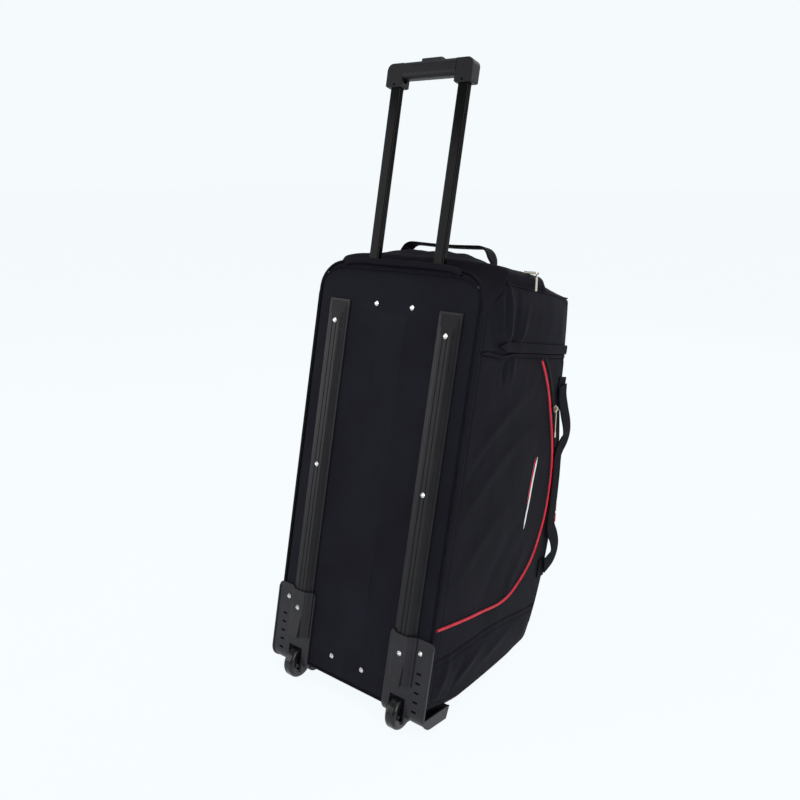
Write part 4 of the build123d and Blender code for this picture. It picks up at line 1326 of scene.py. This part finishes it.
    def make_lid(self) -> None:
        """Lid: rings from its middle out to the zip, padded and a little slack."""
        count = 240
        rim = self.window(-1.0, count)
        centre = np.array([0.0, (self.lid_low + self.lid_high) / 2])
        spine = np.clip(rim, [-20, self.lid_low + 150], [20, self.lid_high - 150])
        share = np.linspace(0, 1, 26)
        flat = spine[None] + share[:, None, None] * (rim - spine)[None]
        points = self.face_map(flat[..., 0], flat[..., 1])
        rise = 3.2 * smooth((1 - share) / 0.06)[:, None]
        lump = 2.2 * grain(points, 75.0, 21.0) * smooth((1 - share) / 0.2)[:, None]
        points[..., 1] += rise + lump
        piece = self.kit.grid("lid_cloth", points, (False, True))
        fill_middle(piece)
        self.finish(piece, "lid", "main_lid")


def fill_middle(piece: bpy.types.Object) -> None:
    """Close the slot that the innermost ring leaves in the middle of a lid or base.

    Args:
        piece: The lid or base skin.
    """
    mesh = bmesh.new()
    mesh.from_mesh(piece.data)
    bmesh.ops.remove_doubles(mesh, verts=mesh.verts, dist=0.00001)
    slot = [edge for edge in mesh.edges if edge.is_boundary and in_middle(edge)]
    bmesh.ops.holes_fill(mesh, edges=slot, sides=0)
    mesh.to_mesh(piece.data)
    mesh.free()


def in_middle(edge: bmesh.types.BMEdge, half: float = 0.03) -> bool:
    """Whether both ends of an edge are near the middle plane: no further from it than half, in metres."""
    return all(abs(v.co.x) < half for v in edge.verts)


def fade_in(count: int, rows: int) -> np.ndarray:
    """Weights for count rows that rise from 0 to 1 over the first rows and fall again over the last."""
    index = np.arange(count)
    return np.clip(np.minimum(index, count - 1 - index) / rows, 0, 1)


def resample_count(path: np.ndarray, count: int) -> np.ndarray:
    """Resample a path to exactly count points.

    Args:
        path: Points of shape (n, 2) or (n, 3).
        count: Count of points wanted.

    Returns:
        The evenly spaced points.
    """
    lengths = np.concatenate([[0], np.cumsum(np.linalg.norm(np.diff(path, axis=0), axis=1))])
    at = np.linspace(0, lengths[-1], count)
    return np.stack([np.interp(at, lengths, path[:, k]) for k in range(path.shape[1])], axis=1)


def grid_normals(points: np.ndarray) -> np.ndarray:
    """Unit normals of a grid of points.

    Args:
        points: Grid of shape (rows, columns, 3).

    Returns:
        Normals of the same shape.
    """
    du = np.gradient(points, axis=0)
    dv = np.gradient(points, axis=1)
    return unit(np.cross(dv, du))


# ---------------------------------------------------------------- base face

@dataclass
class BaseFace:
    """The padded base cloth, its corded seam and the roll in front of the trolley tubes."""

    kit: MeshKit
    form: BagForm
    wardrobe: Wardrobe
    top: float = 787.0
    low: float = -10.0
    cord: float = 2.7

    def outline(self, inset: float, count: int) -> np.ndarray:
        """The base's rounded edge, inset by a margin, as (x, z) points.

        Args:
            inset: Margin in millimetres.
            count: Count of points.

        Returns:
            Points of shape (count, 2).
        """
        half, low, top = self.form.base_half - inset, self.low + inset, self.top - inset
        big, small = self.form.top_corner - inset, self.form.low_corner - inset
        ring = rounded_path([(0, low, 0), (half, low, small), (half, top, big), (-half, top, big),
                             (-half, low, small), (0, low, 0)], 2.0)
        return resample_count(ring, count + 1)[:-1]

    def build(self) -> None:
        """Make and dress the base's pieces."""
        count = 300
        rim = self.outline(1.5, count)
        spine = np.clip(rim, [-30, 60], [30, 700])
        share = np.concatenate([np.linspace(0, 0.93, 22), np.linspace(0.95, 1, 6)])
        flat = spine[None] + share[:, None, None] * (rim - spine)[None]
        x, z = flat[..., 0], flat[..., 1]
        y = np.full_like(x, 0.25)
        between = smooth((88 - np.abs(x)) / 20) * smooth((z - 60) / 40) * smooth((680 - z) / 40)
        y += (0.5 + 0.5 * grain(np.stack([x, 0 * x, z], axis=-1), 60.0, 2.0)) * between
        y += 3.0 * smooth((share[:, None] - 0.955) / 0.045)
        y += 4.0 * smooth((z - 742) / 45)
        piece = self.kit.grid("base_cloth", np.stack([x, y, z], axis=-1)[:, ::-1], (False, True))
        fill_middle(piece)
        thicken(piece, 2.4, self.kit.frame.middle())
        self.wardrobe.dress(piece, Palette.BASE_CLOTH)
        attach(piece, "bag")
        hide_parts("base_panel")
        self.make_welt()
        self.make_roll()

    def make_welt(self) -> None:
        """Corded seam round the base: a covered cord."""
        ring = self.outline(0.0, 360)
        z = ring[:, 1]
        y = 1.6 + 5.0 * smooth((z - 742) / 45)
        path = np.stack([ring[:, 0], y, z], axis=1)
        cord = self.kit.tube("base_seam_cord", path, self.cord, 12, closed=True)
        self.wardrobe.dress(cord, Palette.BLACK_CORD)
        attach(cord, "bag")
        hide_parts("base_welt")

    def make_roll(self) -> None:
        """Stuffed roll of cloth in front of the tubes, tapering into the seam at both ends."""
        half = 128.0
        x = np.linspace(-half, half, 90)
        share = np.abs(x) / half
        rise = 12.0 * np.sqrt(np.clip(1 - share**6, 0, 1))
        path = np.stack([x, 6.2 + 0.0 * x, self.top - 9 + rise], axis=1)
        path[:, 2] += 0.8 * grain(path, 30.0, 4.0)
        piece = self.kit.tube("trolley_roll", path, 6.4, 16)
        self.wardrobe.dress(piece, Palette.CLOTH)
        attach(piece, "bag")
        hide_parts("trolley_lip")
        log.info("made the base face")


# ---------------------------------------------------------------- trims on the sides

@dataclass
class SideTrims:
    """Piping, pocket zip, pocket flap and printed stripe on one side."""

    kit: MeshKit
    form: BagForm
    wardrobe: Wardrobe
    name: str
    side: Side
    cord: float = 2.7
    start: tuple[float, float] = (4.0, 158.0)
    turns: tuple[tuple[float, float], ...] = ((200, 158), (378, 300), (372, 440), (245, 648))
    flap_bands: tuple[tuple[float, ...], ...] = ((2.0, 19.0, 5.4, 3, 70.0, 2.6),
                                                 (-12.0, 7.0, 3.4, 1, 14.0, 2.2))
    stripe_from: tuple[float, float] = (298.0, 452.0)
    stripe_to: tuple[float, float] = (283.0, 302.0)
    stripe_lift: float = 0.9
    stripe_thick: float = 0.8
    stripe_taper: float = 14.0

    def arcs(self, shift: float) -> list[np.ndarray]:
        """The pocket edge's three tangent arcs, moved outward by shift, as (y, z) points.

        Args:
            shift: Distance outward in millimetres.

        Returns:
            The points of each arc.
        """
        tangent = np.array([1.0, 0.0])
        result = []
        for a, b in zip(self.turns, self.turns[1:]):
            start, end = np.array(a, float), np.array(b, float)
            chord = end - start
            normal = np.array([tangent[1], -tangent[0]])
            bend = math.atan2(tangent[0] * chord[1] - tangent[1] * chord[0], float(tangent @ chord))
            radius = np.linalg.norm(chord) / (2 * math.sin(bend))
            centre = start - normal * radius
            sweep = np.linspace(0, 2 * bend, 40)
            spoke = (start - centre) * (radius + shift) / radius
            result.append(centre + turned(spoke, sweep))
            tangent = turned(tangent, np.array(2 * bend))
        return result

    def on_side(self, flat: np.ndarray, lift: float) -> np.ndarray:
        """Put (y, z) points on the side cloth, standing proud by lift.

        Args:
            flat: Points of shape (n, 2).
            lift: Height above the cloth.

        Returns:
            Points of shape (n, 3).
        """
        y, z = flat[:, 0], flat[:, 1]
        x = self.form.half_width(y) + self.form.side_relief(y, z, self.side) + lift
        return np.stack([self.side * x, y, z], axis=1)

    def build(self) -> None:
        """Make and dress the trims of this side."""
        self.make_piping()
        self.make_zip()
        self.make_flap()
        self.make_edge_seam()
        self.make_stripe()
        log.info("made the %s trims", self.name)

    def make_piping(self) -> None:
        """Red cord from the base seam round the pocket's curve."""
        flat = resample(np.vstack([[self.start], *self.arcs(0)]), 5.0)
        path = self.on_side(flat, 1.0)
        path[:, 0] = smooth_line(path[:, 0], 9)
        cord = self.kit.tube("red_piping_" + self.name, path, self.cord, 12)
        self.wardrobe.dress(cord, Palette.RED)
        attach(cord, "bag")
        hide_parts("piping_" + self.name)

    def make_zip(self) -> None:
        """Coil zip beside the piping: two tapes and a row of teeth."""
        arcs = self.arcs(13.0)
        flat = resample(np.vstack([arcs[1], arcs[2][1:]]), 2.4)
        path = self.on_side(flat, 0.8)
        path[:, 0] = smooth_line(path[:, 0], 21)
        pieces = [zip_teeth(self.kit, "teeth", path, np.array([self.side, 0.0, 0.0]), 3.0)]
        for shift in (-6.0, 6.0):
            arcs = self.arcs(13.0 + shift)
            edge = resample(np.vstack([arcs[1], arcs[2][1:]]), 6.0)
            tape = self.on_side(edge, 0.6)
            tape[:, 0] = smooth_line(tape[:, 0], 9)
            across = np.cross(path_tangents(tape, False), [self.side, 0, 0])
            pieces.append(self.kit.ribbon("tape", tape, across, 7.0, 1.0))
        chain = join("pocket_zip_" + self.name, pieces)
        self.wardrobe.dress(chain, Palette.COIL)
        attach(chain, "bag")
        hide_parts("side_pocket_zip_" + self.name)

    def make_flap(self) -> None:
        """Zip cover of the end pocket: a band with three ridges, over a thinner fold."""
        end = float(self.form.depth(np.array(self.form.band))) - 12
        pieces = []
        for drop, width, thick, ribs, start, lift in self.flap_bands:
            y = np.linspace(start, end, 110)
            sag = -5.0 * np.exp(-((y - 88) / 26) ** 2) * (ribs == 1)
            flat = np.stack([y, self.form.flap_line(y) + drop + sag], axis=1)
            path = self.on_side(flat, lift)
            path[:, 0] = self.side * smooth_line(np.abs(path[:, 0]), 15)
            across = np.tile([0.0, 0.0, 1.0], (len(path), 1))
            taper = width * (0.25 + 0.75 * smooth((y - start) / 26))
            pieces.append(self.kit.ribbon("fold", path, across, taper, thick, 1.6, ribs))
        flap = join("pocket_flap_" + self.name, pieces)
        self.wardrobe.dress(flap, Palette.CLOTH)
        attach(flap, "bag")
        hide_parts("end_pocket_flap_" + self.name)

    def make_edge_seam(self) -> None:
        """Thin corded seam along the side's trolley end edge."""
        y = np.linspace(64, self.form.trolley_depth - 14, 90)
        path = self.on_side(np.stack([y, np.full_like(y, self.form.length - 1.0)], axis=1), 1.4)
        path[:, 0] = self.side * smooth_line(np.abs(path[:, 0]), 9)
        cord = self.kit.tube("end_seam_" + self.name, path, 1.5, 10)
        self.wardrobe.dress(cord, Palette.BLACK_CORD)
        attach(cord, "bag")

    def make_stripe(self) -> None:
        """Plain two-tone accent: a slim white bar with a red bar under it."""
        for colour, shift, length, width, slot in ((Palette.WHITE_PRINT, 0.0, 150.0, 6.0, "zip_metal"),
                                                   (Palette.RED, -9.0, 96.0, 2.6, "red_piping")):
            start, end = np.array(self.stripe_from), np.array(self.stripe_to)
            direction = unit((end - start)[None])[0]
            t = np.linspace(0, length, 60)[:, None]
            flat = start + direction * t + np.array([shift, -0.1 * shift])
            path = self.on_side(flat, self.stripe_lift)
            path[:, 0] = smooth_line(path[:, 0], 9)
            across = np.cross(path_tangents(path, False), [self.side, 0, 0])
            taper = np.clip(np.minimum(t[:, 0], length - t[:, 0]) / self.stripe_taper, 0.12, 1)
            bar = self.kit.ribbon(colour.value.name + "_bar_" + self.name, path, across,
                                  width * taper, self.stripe_thick)
            self.wardrobe.dress(bar, colour)
            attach(bar, "bag")


def turned(vector: np.ndarray, angle: np.ndarray) -> np.ndarray:
    """A plane vector turned by one angle or by each of several."""
    c, s = np.cos(angle), np.sin(angle)
    return np.stack([vector[0] * c - vector[1] * s, vector[0] * s + vector[1] * c], axis=-1)


def smooth_line(values: np.ndarray, width: int) -> np.ndarray:
    """Running mean with its ends held."""
    padded = np.pad(values, width // 2, mode="edge")
    return np.convolve(padded, np.ones(width) / width, mode="valid")


def zip_teeth(kit: MeshKit, name: str, path: np.ndarray, out: np.ndarray, half: float,
              closed: bool = False) -> bpy.types.Object:
    """A row of zip teeth: one rounded block at each path point, staggered left and right.

    Args:
        kit: Mesh builder.
        name: The piece's name.
        path: Centre line in bag millimetres, one tooth for each point.
        out: Direction in which the teeth stand out of the cloth.
        half: Half of the chain's width.
        closed: Whether the path is a loop.

    Returns:
        All the teeth as one object.
    """
    tangent = path_tangents(path, closed)
    across = unit(np.cross(tangent, out))
    points, faces = [], []
    corners = [(-1, 0), (-1, 0.8), (-0.6, 1.2), (0.6, 1.2), (1, 0.8), (1, 0)]
    for k, (p, t, a) in enumerate(zip(path, tangent, across)):
        shift = a * (0.35 * half if k % 2 else -0.35 * half)
        base = len(points)
        for end in (-0.75, 0.75):
            for c, h in corners:
                points.append(p + shift + a * c * half * 0.62 + out * h + t * end)
        for j in range(6):
            n = (j + 1) % 6
            faces.append((base + j, base + n, base + 6 + n, base + 6 + j))
        faces.append(tuple(base + j for j in range(6))[::-1])
        faces.append(tuple(base + 6 + j for j in range(6)))
    return kit.mesh(name, np.array(points), faces, np.zeros((len(points), 2)))


# ---------------------------------------------------------------- main zip and handles

@dataclass
class MainZip:
    """The chain round the lid, with its tapes."""

    kit: MeshKit
    shell: FabricShell
    wardrobe: Wardrobe

    def build(self) -> None:
        """Make and dress the zip."""
        ring = self.shell.window(4.5, 660)
        path = self.shell.face_map(ring[:, 0], ring[:, 1])
        path[:, 1] -= 0.3
        teeth = zip_teeth(self.kit, "teeth", path, np.array([0.0, 1.0, 0.0]), 3.4, True)
        tape_ring = self.shell.window(4.5, 260)
        tape_path = self.shell.face_map(tape_ring[:, 0], tape_ring[:, 1])
        inner = self.shell.face_map(*self.shell.window(-2.0, 260).T)
        outer = self.shell.face_map(*self.shell.window(11.5, 260).T)
        rows = np.stack([inner, tape_path, outer])
        rows[..., 1] -= 1.4
        tape = self.kit.grid("tape", rows, (False, True))
        thicken(tape, 1.0)
        chain = join("main_zip", [teeth, tape])
        self.wardrobe.dress(chain, Palette.COIL)
        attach(chain, "bag")
        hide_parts("main_zip_chain")
        log.info("made the main zip")


@dataclass
class CarryHandle:
    """Webbing grab handle along one edge of the opening."""

    kit: MeshKit
    form: BagForm
    wardrobe: Wardrobe
    name: str
    side: Side
    inner: float = 194.0
    width: float = 36.0
    thick: float = 3.2
    run: tuple[tuple[float, float, float], ...] = (
        (600, -10, 0), (575, -5, 0), (545, 3, 1), (520, 10, 2), (500, 14, 1), (484, 9, -1),
        (466, -10, -2), (446, -26, -1), (400, -31, 0), (355, -32, 0), (305, -31, 0), (284, -24, 0),
        (262, -4, 1), (242, 9, 2), (226, 14, 1), (213, 10, 0), (204, -3, -1), (197, -20, -1))

    def build(self) -> None:
        """Make and dress the strap."""
        points = [(self.side * (self.inner + 2 + lift), float(self.form.depth(np.array(float(z)))) + out, z)
                  for z, out, lift in self.run]
        path = curve_through(points, 4.0)
        tangent = path_tangents(path, False)
        across = np.cross(tangent, [self.side, 0.0, 0.0])
        strap = self.kit.ribbon("carry_strap_" + self.name, path, across, self.width, self.thick, 1.0, 9)
        self.wardrobe.dress(strap, Palette.WEBBING)
        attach(strap, "carry_" + self.name)
        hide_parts("carry_handle_" + self.name)
        log.info("made the %s carry handle", self.name)


@dataclass
class HaulHandle:
    """Webbing arch over the trolley end."""

    kit: MeshKit
    form: BagForm
    wardrobe: Wardrobe
    half: float = 113.0
    foot: float = 807.0
    rise: float = 40.0
    depth: float = 155.0
    width: float = 38.0

    def build(self) -> None:
        """Make and dress the arch."""
        foot = self.foot - 3
        top = self.foot + self.rise
        flat = rounded_path([(-self.half, foot, 0), (-self.half + 22, top, 26), (self.half - 22, top, 26),
                             (self.half, foot, 0)], 4.0)
        sag = -2.5 * np.cos(flat[:, 0] / self.half * math.pi / 2) ** 2 * (flat[:, 1] > top - 8)
        path = np.stack([flat[:, 0], np.full(len(flat), self.depth), flat[:, 1] + sag], axis=1)
        across = np.tile([0.0, 1.0, 0.0], (len(path), 1))
        width = 12 + (self.width - 12) * smooth((flat[:, 1] - foot - 2) / 24)
        strap = self.kit.ribbon("haul_strap", path, across, width, 4.2, 1.0, 9)
        self.wardrobe.dress(strap, Palette.WEBBING)
        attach(strap, "haul")
        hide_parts("haul_handle")
        log.info("made the haul handle")


@dataclass
class PullBeads:
    """String of ribbed beads that hangs from the main zip's pull tab."""

    kit: MeshKit
    form: BagForm
    wardrobe: Wardrobe
    across: float = 179.0
    height: float = 416.0
    lift: float = 14.6
    lean: float = 13.2
    start: float = 26.0
    beads: tuple[tuple[float, float, Palette], ...] = (
        (34.0, 58.0, Palette.BLACK_CORD), (60.0, 84.0, Palette.WHITE_PRINT), (86.0, 112.0, Palette.RED),
        (114.0, 138.0, Palette.RED))

    def hang(self, drop: np.ndarray) -> np.ndarray:
        """Points this far below the slider's pin, straight down, in bag millimetres.

        Args:
            drop: Distances down in millimetres.

        Returns:
            Points of shape (..., 3).
        """
        slope = math.asin((self.height - self.form.curve_centre[1]) / self.form.curve_radius)
        lean = math.radians(self.lean)
        y = float(self.form.depth(np.array(self.height))) + self.lift * math.cos(slope)
        z = self.height + self.lift * math.sin(slope)
        x = np.full_like(drop, self.across)
        return np.stack([x, y + drop * math.sin(lean), z - drop * math.cos(lean)], axis=-1)

    def build(self) -> None:
        """Make and dress the cord and its beads."""
        core = self.kit.tube("pull_cord", self.hang(np.linspace(self.start, 139.0, 24)), 1.3, 10)
        self.wardrobe.dress(core, Palette.BLACK_CORD)
        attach(core, "main_zip_pull")
        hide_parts("main_pull_grip")
        for number, (top, low, finish) in enumerate(self.beads, 1):
            drop = np.linspace(top, low, 25)
            share = np.clip(np.minimum(drop - top, low - drop) / 4.0, 0, 1)
            ribs = 1 - 0.1 * np.sin(drop * 1.6) ** 2
            width = 3.2 * np.sqrt(np.clip(1 - (1 - share) ** 2, 0.05, 1)) * ribs
            bead = self.kit.tube(f"pull_bead_{number}", self.hang(drop), width, 16)
            self.wardrobe.dress(bead, finish)
            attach(bead, "main_zip_pull")
        log.info("made the main pull's beads")


# ---------------------------------------------------------------- carried-over parts

class HardParts:
    """Finishes for the CAD nodes that are shown as they are."""

    finishes: dict[str, Palette] = {
        "skid_rail": Palette.RAIL, "wheel_housing": Palette.HOUSING, "wheel_tyre": Palette.TYRE,
        "wheel_hub": Palette.HUB, "wheel_axle": Palette.STEEL, "rail_screws": Palette.STEEL,
        "housing_screws": Palette.STEEL, "bracket_rivets": Palette.STEEL, "tube_sleeve": Palette.TUBE,
        "handle_tube": Palette.TUBE, "tube_bracket": Palette.HOUSING, "lock_plug": Palette.HUB,
        "lock_pin": Palette.STEEL, "grip_corner": Palette.GRIP, "handle_grip": Palette.GRIP,
        "release_button": Palette.BUTTON, "release_yoke": Palette.STEEL, "button_spring": Palette.STEEL,
        "base_board": Palette.BOARD, "lining": Palette.LINING, "handle_anchors": Palette.WEBBING,
        "main_slider": Palette.ZIP_METAL, "main_pull": Palette.ZIP_METAL,
        "side_slider": Palette.ZIP_METAL, "side_pull": Palette.ZIP_METAL, "end_slider": Palette.ZIP_METAL,
        "end_pull": Palette.ZIP_METAL,
    }

    def __init__(self, nodes: dict[str, bpy.types.Object], wardrobe: Wardrobe) -> None:
        """Keep the nodes and the wardrobe."""
        self.nodes = nodes
        self.wardrobe = wardrobe

    def build(self) -> None:
        """Dress every carried-over node by the longest matching start of its name."""
        for name, node in self.nodes.items():
            keys = [k for k in self.finishes if name.startswith(k)]
            if keys:
                self.wardrobe.dress_node(node, self.finishes[max(keys, key=len)])
        log.info("dressed the hard parts")


# ---------------------------------------------------------------- studio

@dataclass
class Studio:
    """Pale floor and background, soft lights and the camera."""

    frame: BagFrame
    stand: tuple[float, float, float] = (0.8065, -0.9200, 0.9305)
    sight: tuple[float, float, float] = (-0.5645, 0.7714, -0.2937)
    lens: float = 33.69
    pale: tuple[float, float, float] = (0.913, 0.956, 0.983)
    floor_half: float = 40.0
    lamps: tuple[tuple[str, tuple[float, float, float], float, float], ...] = (
        ("key", (2.6, -1.6, 1.9), 2.2, 62.0), ("fill", (-2.6, -2.4, 1.4), 2.4, 42.0),
        ("above", (0.2, -0.4, 3.2), 2.6, 34.0), ("back", (0.4, 3.0, 2.0), 2.4, 26.0))

    def build(self) -> None:
        """Make the floor, world, lights and camera."""
        bpy.context.scene.view_settings.view_transform = "Standard"
        self.make_world()
        self.make_floor()
        self.make_lights()
        self.make_camera()
        log.info("made the studio")

    def make_world(self) -> None:
        """Pale to look at, dimmer as a light."""
        world = bpy.data.worlds.new("studio")
        bpy.context.scene.world = world
        world.use_nodes = True
        nodes, links = world.node_tree.nodes, world.node_tree.links
        nodes.clear()
        seen = nodes.new("ShaderNodeBackground")
        light = nodes.new("ShaderNodeBackground")
        seen.inputs["Color"].default_value = (*self.pale, 1)
        light.inputs["Color"].default_value = (0.93, 0.96, 1.0, 1)
        light.inputs["Strength"].default_value = 0.34
        mix = nodes.new("ShaderNodeMixShader")
        path = nodes.new("ShaderNodeLightPath")
        out = nodes.new("ShaderNodeOutputWorld")
        links.new(path.outputs["Is Camera Ray"], mix.inputs[0])
        links.new(light.outputs[0], mix.inputs[1])
        links.new(seen.outputs[0], mix.inputs[2])
        links.new(mix.outputs[0], out.inputs[0])

    def make_floor(self) -> None:
        """A wide pale floor that keeps only a faint shadow."""
        h = self.floor_half
        data = bpy.data.meshes.new("floor")
        data.from_pydata([(-h, -h, 0), (h, -h, 0), (h, h, 0), (-h, h, 0)], [], [(0, 1, 2, 3)])
        floor = bpy.data.objects.new("floor", data)
        bpy.context.scene.collection.objects.link(floor)
        kit = NodeKit("floor_paper")
        cloud = kit.noise(kit.place("Object", (1, 1, 1)), 3.0)
        kit.blend(cloud, (0.050, 0.050, 0.050), (0.054, 0.054, 0.054), "Base Color")
        kit.set(Roughness=1.0, Specular_IOR_Level=0.0, Emission_Strength=0.975)
        kit.shader.inputs["Emission Color"].default_value = (*self.pale, 1)
        data.materials.append(kit.material)
        floor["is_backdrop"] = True

    def make_lights(self) -> None:
        """Large soft lights: right front key, left fill, and one above."""
        low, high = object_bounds()
        centre = Vector([(a + b) / 2 for a, b in zip(low, high)])
        for name, place, size, power in self.lamps:
            data = bpy.data.lights.new(name, "AREA")
            data.size, data.energy, data.color = size, power, (1.0, 0.99, 0.975)
            lamp = bpy.data.objects.new(name, data)
            lamp.location = Vector(place)
            lamp.rotation_euler = (centre - Vector(place)).to_track_quat("-Z", "Y").to_euler()
            bpy.context.scene.collection.objects.link(lamp)

    def make_camera(self) -> None:
        """Camera at standing height, looking down at the base and the right side."""
        data = bpy.data.cameras.new("camera")
        data.lens, data.sensor_width = self.lens, 36.0
        camera = bpy.data.objects.new("camera", data)
        camera.location = Vector(self.frame.origin) + Vector(self.stand)
        camera.rotation_euler = Vector(self.sight).to_track_quat("-Z", "Y").to_euler()
        bpy.context.scene.collection.objects.link(camera)
        bpy.context.scene.camera = camera


def main() -> None:
    """Build every sub-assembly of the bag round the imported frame."""
    logging.basicConfig(level=logging.INFO, format="%(message)s")
    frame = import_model()
    bag_frame = BagFrame.from_rig(frame)
    kit, form, wardrobe = MeshKit(bag_frame), BagForm(), Wardrobe()
    Studio(bag_frame).build()
    shell = FabricShell(kit, form, wardrobe)
    shell.build()
    BaseFace(kit, form, wardrobe).build()
    for name, side in (("left", -1), ("right", 1)):
        SideTrims(kit, form, wardrobe, name, side).build()
        CarryHandle(kit, form, wardrobe, name, side).build()
    MainZip(kit, shell, wardrobe).build()
    HaulHandle(kit, form, wardrobe).build()
    PullBeads(kit, form, wardrobe).build()
    HardParts(frame["nodes"], wardrobe).build()


if __name__ == "__main__":
    main()
